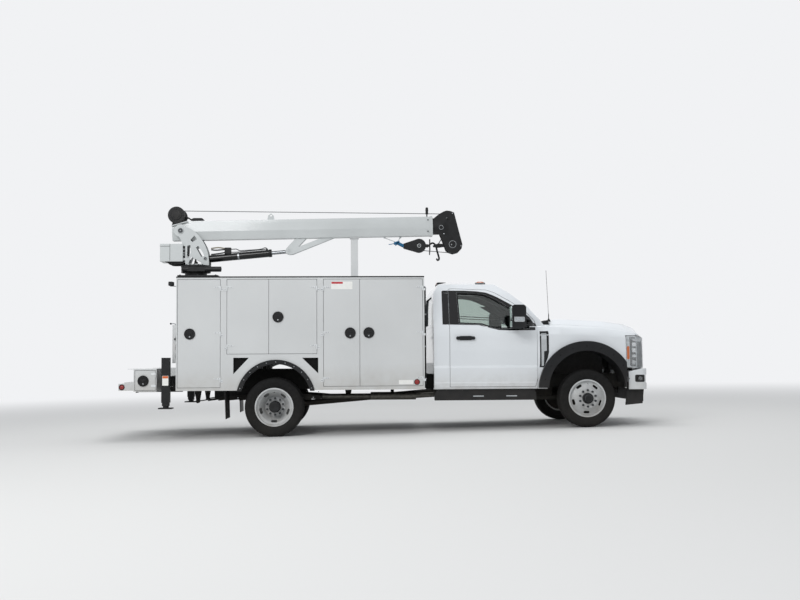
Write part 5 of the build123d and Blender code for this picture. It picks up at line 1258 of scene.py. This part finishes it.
# %% Conduits behind the cab
WALL_X = 2037
parts = [plate(duct_grey, rounded(-1010, -950, 700, 2040, 10), "x", WALL_X, 2066, 3.0)]
for y, radius in ((-1046, 15), (-1084, 12)):
    x = WALL_X + radius + 4
    rib = [(radius - 4, 0), (radius, 2), (radius, 5), (radius - 4, 6.7), (radius - 4, 0)]
    parts.append(row_of(turned(rib, (x, y, 690), "z", 12), 190, moulded_black, (0, 0, 7)))
    parts.append(rod(moulded_black, [(x, y, 686), (x, y, 2024)], radius - 3))
for z in (760, 1200, 1640, 1990):
    clip = [(-1104, z), (-942, z), (-942, z + 16), (-1104, z + 16)]
    parts.append(plate(zinc_steel, clip, "x", 2036, 2070, 1.0))
dress("conduits", "service_body", parts)
print("parts of the conduits:", len(parts))

# %% [markdown]
# The walking surfaces are not smooth: the deck and the bumper's top have rows of raised bars, the way
# rolled tread plate has. One bar is repeated across, and the row is repeated along.

# %% Tread bars on the deck and the bumper
tread_bar = pushed(rounded(-14, 14, -2.6, 2.6, 2.4, 2), "z", 0, 1.6)


def tread_field(x0, x1, y0, y1, z, pitch):
    """Rows of bars, every second one turned the other way, on a flat top."""
    across, along = int((y1 - y0) / pitch), int((x1 - x0) / (2 * pitch))
    fields = []
    for heading, shift in ((45, 0.0), (135, pitch)):
        corner = Matrix.Translation((x0 + pitch / 2 + shift, y0 + pitch / 2, z))
        first = tread_bar.copy()
        first.transform(corner @ Matrix.Rotation(radians(heading), 4, "Z"))
        row = repeated(first, across, deck_steel, step=(0, pitch, 0))
        fields.append(row_of(row, along, deck_steel, (2 * pitch, 0, 0)))
    return fields


dress("deck_tread", "service_body", tread_field(-1300, 2000, -630, 630, 987, 60))
dress("bumper_tread", "rear_bumper", tread_field(-2000, -1680, -680, 680, 745, 50))

# %% [markdown]
# ## The crane's base and mast
# The slewing bearing is held by two rings of bolts. Bolt heads are six-sided, so the lathe turns them in
# six steps with a bevelled top, and one head is repeated round each ring.

# %% Bolt rings
CRANE_X, CRANE_Y = -1088, -920
BASE_TOP = 2186
DECK_BOLTS = ((-1270, -1160), (-1270, -680), (-790, -1160), (-790, -680), (-1030, -1160), (-1030, -680))
GEAR_CAP = [(36, 0), (36, 10), (30, 14), (12, 14), (12, 18), (0, 18)]
SLEW_MOTOR = [(30, 0), (30, 12), (40, 12), (40, 90), (34, 96), (16, 96), (16, 108), (0, 108)]


def bolt_head(radius, height):
    return [(0, height), (radius * 0.8, height), (radius, height - 2), (radius, 0), (0, 0)]


def bolt_ring(radius, height, circle, count, z):
    head = turned(bolt_head(radius, height), (circle, 0, 0), "z", 6)
    return ring_of(head, count, pin_steel, "z", (CRANE_X, CRANE_Y, z))


parts = [
    bolt_ring(13, 10, 176, 16, BASE_TOP),
    *[lathe(pin_steel, bolt_head(12, 9), (x, y, BASE_TOP), "z", 6) for x, y in DECK_BOLTS],
    lathe(crane_black, GEAR_CAP, (-734, -1110, 2272), "x", 24),
    lathe(crane_black, SLEW_MOTOR, (-1148, -1110, 2272), "x", 28, -1),
]
dress("base_bolts", "slew_base", parts)
dress("mast_bolts", "mast", [bolt_ring(11, 9, 182, 20, 2334)])
print("parts on the crane's base:", len(parts))

# %% [markdown]
# Each pin of the crane ends in a keeper ring with a grease nipple in its middle. The control box has a seam
# below its lid and one at its hinge, and a valve block with three ports stands before it. Hoses loop under
# its tray and rise through the mast between two glands.

# %% Pins, control box and mast hoses
NIPPLE = [(4, 0), (4, 4), (6, 4), (6, 8), (3, 9), (3, 13), (0, 14)]
GLAND = [(22, 0), (22, 30), (16, 36), (16, 60), (0, 60)]
BOX_TRAY = [(-1500, 2383), (-1250, 2383), (-1236, 2372), (-1236, 2352), (-1300, 2352), (-1420, 2366)]


def pin_ends(x, z, out, radius):
    """A keeper ring and a grease nipple on both ends of a crane pin."""
    keeper = [(radius + 7, 0), (radius + 7, 3), (radius + 4, 5), (radius + 1, 5), (radius, 3), (radius, 0)]
    made = []
    for way in (-1, 1):
        centre = (x, CRANE_Y + way * out, z)
        made.append(lathe(boom_enamel, keeper + keeper[:1], centre, "y", 28, way))
        made.append(lathe(zinc_steel, NIPPLE, centre, "y", 10, way))
    return made


parts = [
    *pin_ends(-1283, 2807, 132, 34), *pin_ends(-945, 2425, 130, 20),
    plate(shadow_black, rounded(-1556.5, -1418, 2588, 2593, 2), "y", -1070.8, -769.2),
    plate(shadow_black, rounded(-1424, -1419, 2388, 2620, 2), "y", -1070.8, -769.2),
    plate(moulded_black, BOX_TRAY, "y", -1040, -800, 3.0),
    plate(crane_black, rounded(-1252, -1218, 2430, 2596, 6), "y", -1046, -794, 3.0),
]
for z in (2470, 2500, 2550):
    parts.append(lathe(zinc_steel, [(9, 0), (9, -8), (6, -10), (0, -10)], (-1235, -1046, z), "y", 12))
for k, y in enumerate((-1000, -960, -900, -850)):
    near_y = (y + CRANE_Y) / 2
    loop = [
        (-1450 + 20 * k, y, 2372), (-1440, y, 2350), (-1380, y, 2341), (-1280, y, 2346),
        (-1215, near_y, 2352),
    ]
    rise = [
        (CRANE_X, near_y, 2336), (-1090, near_y, 2430), (-1110 - 16 * k, y, 2540), (-1150, y, 2640),
        (-1170, y, 2690),
    ]
    parts += [rod(hose_rubber, loop, 8, bend=True), rod(hose_rubber, rise, 9, bend=True)]
for y in (-980, -860):
    parts.append(lathe(cast_iron, GLAND, (CRANE_X, y, BEARING_TOP - 3), "z", 20))
dress("mast_fittings", "mast", parts)
print("parts on the mast:", len(parts))

# %% [markdown]
# The lift cylinder carries a safety valve on its back, thin steel lines that run to its far end, and three
# short hoses back into the mast. Lines and hoses are round bars along soft curves.

# %% Lift cylinder lines
LINES = (
    (pin_steel, 6, -936, [
        (-607, 2562), (-560, 2563), (-535, 2566), (-490, 2540), (-430, 2546), (-189, 2560), (-150, 2584),
        (-118, 2578), (-106, 2548),
    ]),
    (pin_steel, 6, -904, [
        (-607, 2524), (-560, 2522), (-420, 2536), (-260, 2552), (-160, 2560), (-128, 2572), (-112, 2545),
    ]),
    (hose_rubber, 9, -938, [(-697, 2558), (-760, 2552), (-830, 2546), (-880, 2556)]),
    (hose_beige, 9, -920, [(-690, 2572), (-760, 2588), (-830, 2584), (-884, 2574)]),
    (hose_rubber, 9, -902, [(-697, 2520), (-770, 2506), (-840, 2498), (-886, 2492)]),
)
END_CAP = [(50.5, 858), (54, 862), (54, 896), (50, 900), (27, 900), (27, 858), (50.5, 858)]
CYLINDER_PARTS = (
    (crane_black, END_CAP, 0, "x", 36),
    (pin_steel, [(14, 46), (14, 60), (9, 62), (9, 70), (0, 70)], 838, "z", 14),
    (zinc_steel, [(50.4, 0), (52.5, 0), (52.5, 22), (50.4, 22), (50.4, 0)], 430, "x", 36),
)
parts = [
    plate(crane_black, rounded(-697, -607, 2497, 2585, 8), "y", -950, -890, 3.0),
    lathe(zinc_steel, [(11, 0), (11, 10), (8, 12), (0, 12)], (-652, -890, 2545), "y", 6),
]
for used, radius, y, path in LINES:
    parts.append(rod(used, [(x, y, z) for x, z in path], radius, bend=True))
slope = atan2(106, 1130)
cylinder = Matrix.Translation((-945, CRANE_Y, 2425)) @ Matrix.Rotation(-slope, 4, "Y")
for used, profile, x, axis, steps in CYLINDER_PARTS:
    fitting = turned(profile, (x, 0, 0), axis, steps)
    fitting.transform(cylinder)
    parts.append(settled(fitting, used))
dress("lift_lines", "lift_barrel", parts)
print("the lift cylinder slopes by", round(degrees(slope), 2), "degrees")

# %% [markdown]
# ## The boom
# The winch's end covers are ribbed castings. The drum holds one layer of steel rope, which is a ring of
# rope repeated along the drum, and the rope leaves over the top. Three hoses feed the winch from a moulded
# cover.

# %% Winch and boom fittings
DRUM_X, DRUM_Z = -1340, 3022
WINCH_COVER = [(70, 0), (66, 10), (46, 12), (42, 18), (0, 18)]
WINCH_MOTOR = [(44, 0), (44, 70), (38, 78), (18, 78), (18, 92), (0, 92)]
HOSE_COVER = [(-1148, 2942), (-980, 2948), (-984, 2976), (-1004, 2990), (-1120, 2990), (-1144, 2976)]
GRIP = [(0, 0), (17, 2), (20, 10), (18, 40), (21, 52), (18, 88), (12, 98), (0, 99)]
parts = []
for way in (-1, 1):
    rib = pushed([(-5, 74), (5, 74), (7, 112), (-7, 112)], "y", way * 129.5, way * 137)
    parts.append(ring_of(rib, 16, cast_iron, "y", (DRUM_X, CRANE_Y, DRUM_Z)))
    parts.append(lathe(cast_iron, WINCH_COVER, (DRUM_X, CRANE_Y + way * 130, DRUM_Z), "y", 32, way))
parts.append(lathe(crane_black, WINCH_MOTOR, (DRUM_X, -772, DRUM_Z), "y", 28))
for y in (-966, -934, -900):
    feed = [(-1262, y, 2946), (-1228, y, 2985), (-1196, y, 3000), (-1160, y, 2972), (-1130, y, 2958)]
    parts.append(rod(hose_rubber, feed, 9, bend=True))
dress("winch_fittings", "winch", parts)

angles = [radians(a) for a in range(0, 360, 60)]
section = [(73 + 5.2 * cos(a), 5.2 * sin(a)) for a in angles]
turn_of_rope = turned(section + section[:1], (DRUM_X, CRANE_Y - 71, DRUM_Z), "y", 40)
dress("rope_turns", "winch_rope", [row_of(turn_of_rope, 15, rope_steel, (0, 10.2, 0))])

parts = [
    plate(moulded_black, HOSE_COVER, "y", -984, -856, 6.0),
    rod(pin_steel, [(2096, -986, 2990), (2096, -986, 3040)], 9),
    lathe(moulded_black, GRIP, (2096, -986, 3038), "z", 20),
    *pin_ends(185, 2531, 46.4, 24),
]
studs = [(0, -9), (7, -9), (9, -6), (9, 4), (0, 4)]
parts += [lathe(moulded_black, studs, (2108, -1016, z), "y", 6) for z in (2800, 2960)]
dress("boom_fittings", "boom_outer", parts)
print("parts on the boom's outer section:", len(parts))

# %% [markdown]
# The head's side plates are black, and bright rings mark the ends of its sheave pins. A roller keeps the
# rope off the plates' front edge, and a rope anchor hangs behind.

# %% Sheave head
HEAD_BOLTS = ((2373, 2984), (2455, 3052), (2333, 2768), (2569, 2600), (2436, 2616))
ROPE_ANCHOR = [(2180, 2612), (2250, 2640), (2396, 2628), (2396, 2598), (2250, 2580), (2184, 2590)]
parts = []
for way in (-1, 1):
    face_y = CRANE_Y + way * 74
    for x, z, radius in ((2294, 2857, 32), (2451, 2622, 52)):
        ring = [(radius, 0), (radius, 3), (radius - 6, 3), (radius - 6, 0), (radius, 0)]
        parts.append(lathe(zinc_steel, ring, (x, face_y, z), "y", 36, way))
    for x, z in HEAD_BOLTS:
        parts.append(lathe(zinc_steel, [(10, -1), (10, 7), (7, 9), (0, 9)], (x, face_y, z), "y", 6, way))
for y in (-912, -940):
    groove = [(88.6, 0), (92, 3), (92, 9), (88.6, 12), (88.6, 0)]
    parts.append(lathe(cast_iron, groove, (2455, y, 2600), "y", 40))
parts += [
    rod(pin_steel, [(2455, -994, 3052), (2455, -846, 3052)], 16),
    plate(crane_black, ROPE_ANCHOR, "y", -936, -904, 4.0),
    rod(pin_steel, [(2300, CRANE_Y, 2700), (2262, CRANE_Y, 2640), (2240, CRANE_Y, 2600)], 7),
]
dress("head_fittings", "boom_inner", parts)
print("parts on the sheave head:", len(parts))

# %% [markdown]
# The hook turns on a swivel in the block's nose and has a sprung latch. On the road the block is tied up
# under the boom by a blue webbing strap, wound round the loop and knotted.

# %% Hook block, hook and strap
SWIVEL = [(0, 0), (18, 0), (24, 10), (24, 34), (16, 40), (16, 58), (0, 58)]
HOOK = [
    (2120, 2608), (2150, 2640), (2190, 2650), (2226, 2610), (2238, 2540), (2256, 2480), (2270, 2430),
    (2258, 2404), (2236, 2410),
]
HOOK_LATCH = [(2130, 2700), (2146, 2702), (2148, 2560), (2140, 2478), (2128, 2480), (2130, 2560)]
dress("hook_fittings", "hook_block", [
    *pin_ends(1988, 2608, 30, 20),
    lathe(crane_black, SWIVEL, (2078, CRANE_Y, 2608), "x", 24),
    rod(crane_black, [(x, CRANE_Y, z) for x, z in HOOK], 13, bend=True),
    lathe(crane_black, [(13, 0), (11, 12), (6, 24), (0, 28)], (2236, CRANE_Y, 2410), "z", 16),
    plate(crane_black, HOOK_LATCH, "y", -930, -910, 3.0),
])

WRAPS = ((1640, 2640, 1700, 2656, 16), (1660, 2622, 1716, 2664, 14), (1700, 2642, 1772, 2606, 22))
KNOT = [(0, -26), (14, -22), (20, -8), (19, 8), (13, 22), (0, 26)]
strap = []
for x0, z0, x1, z1, wide in WRAPS:
    flat = [(x0, z0 - wide), (x0, z0 + wide), (x1, z1 + wide), (x1, z1 - wide)]
    fold = [(x0 + 4, z0 + wide - 3), (x0 + 4, z0 + wide), (x1 - 4, z1 + wide), (x1 - 4, z1 + wide - 3)]
    strap += [plate(strap_blue, flat, "y", y, y + 4, 1.5) for y in (-955, -889)]
    strap.append(plate(strap_blue, fold, "y", -954, -888))
strap += [
    lathe(strap_blue, KNOT, (1690, CRANE_Y, 2640), "y", 14),
    rod(strap_blue, [(1640, -926, 2640), (1600, -928, 2628), (1566, -930, 2626)], 5, bend=True),
]
dress("tie_strap", "hook_block", strap)

# %% [markdown]
# The studio is a pale floor and an even sky. Far from the truck the floor fades to the sky's own white, so
# that no horizon cuts the picture. The sky looks white to the camera and in reflections, while its light on
# the truck stays at a plain level. Two soft lamps give the panels a direction.

# %% Floor and light
HALF_FLOOR = 400
WHITE = {"Color": linear("#F1F2F4"), "Strength": 1.0}
DAYLIGHT = {"Color": linear("#F2F5FA"), "Strength": 0.62}
floor_mesh = bpy.data.meshes.new("studio_floor")
corners = [(x * HALF_FLOOR, y * HALF_FLOOR, 0) for x, y in ((-1, -1), (1, -1), (1, 1), (-1, 1))]
floor_mesh.from_pydata(corners, [], [(0, 1, 2, 3)])
floor = placed("studio_floor", floor_mesh)
floor_grey = finish("floor_matte_grey", Base_Color=linear("#D5D5D3"), Roughness=0.9)
floor_mesh.materials.append(floor_grey)

world = bpy.data.worlds.new("studio_sky")
scene.world = world
world.use_nodes = True
sky = world.node_tree
sky.nodes.clear()
path = add(sky, "ShaderNodeLightPath").outputs
seen = path["Is Camera Ray"]
for kind in ("Is Transmission Ray", "Is Glossy Ray"):
    seen = add(sky, "ShaderNodeMath", {"operation": "MAXIMUM"}, i0=seen, i1=path[kind]).outputs["Value"]
lighting, backdrop = (
    add(sky, "ShaderNodeBackground", light).outputs["Background"] for light in (DAYLIGHT, WHITE)
)
choice = add(sky, "ShaderNodeMixShader", i0=seen, i1=lighting, i2=backdrop).outputs["Shader"]
add(sky, "ShaderNodeOutputWorld", Surface=choice)

plane = floor_grey.node_tree
spot = add(plane, "ShaderNodeTexCoord").outputs["Object"]
distance = add(plane, "ShaderNodeVectorMath", {"operation": "LENGTH"}, i0=spot).outputs["Value"]
fading = {"From Min": 6.0, "From Max": 22.0, "interpolation_type": "SMOOTHSTEP"}
fade = add(plane, "ShaderNodeMapRange", fading, Value=distance).outputs["Result"]
direct = add(plane, "ShaderNodeLightPath").outputs["Is Camera Ray"]
share = add(plane, "ShaderNodeMath", {"operation": "MULTIPLY"}, i0=fade, i1=direct).outputs["Value"]
glow = add(plane, "ShaderNodeEmission", WHITE).outputs["Emission"]
paint = plane.nodes["Principled BSDF"].outputs["BSDF"]
blend = add(plane, "ShaderNodeMixShader", i0=share, i1=paint, i2=glow).outputs["Shader"]
plane.links.new(blend, plane.nodes["Material Output"].inputs["Surface"])


def soft_lamp(name, place, aim, size, power):
    data = bpy.data.lights.new(name, "AREA")
    data.shape = "RECTANGLE"
    data.size = size
    data.size_y = size * 0.6
    data.energy = power
    lamp = placed(name, data)
    lamp.location = place
    lamp.rotation_euler = (Vector(aim) - Vector(place)).to_track_quat("-Z", "Y").to_euler()


soft_lamp("key_softbox", (-6, -13, 9), (0, 0, 1.2), 8, 900)
soft_lamp("overhead_softbox", (1, 1, 12), (0, 0, 1), 9, 600)

scene.view_settings.view_transform = "Standard"
print("lamps:", len(bpy.data.lights))
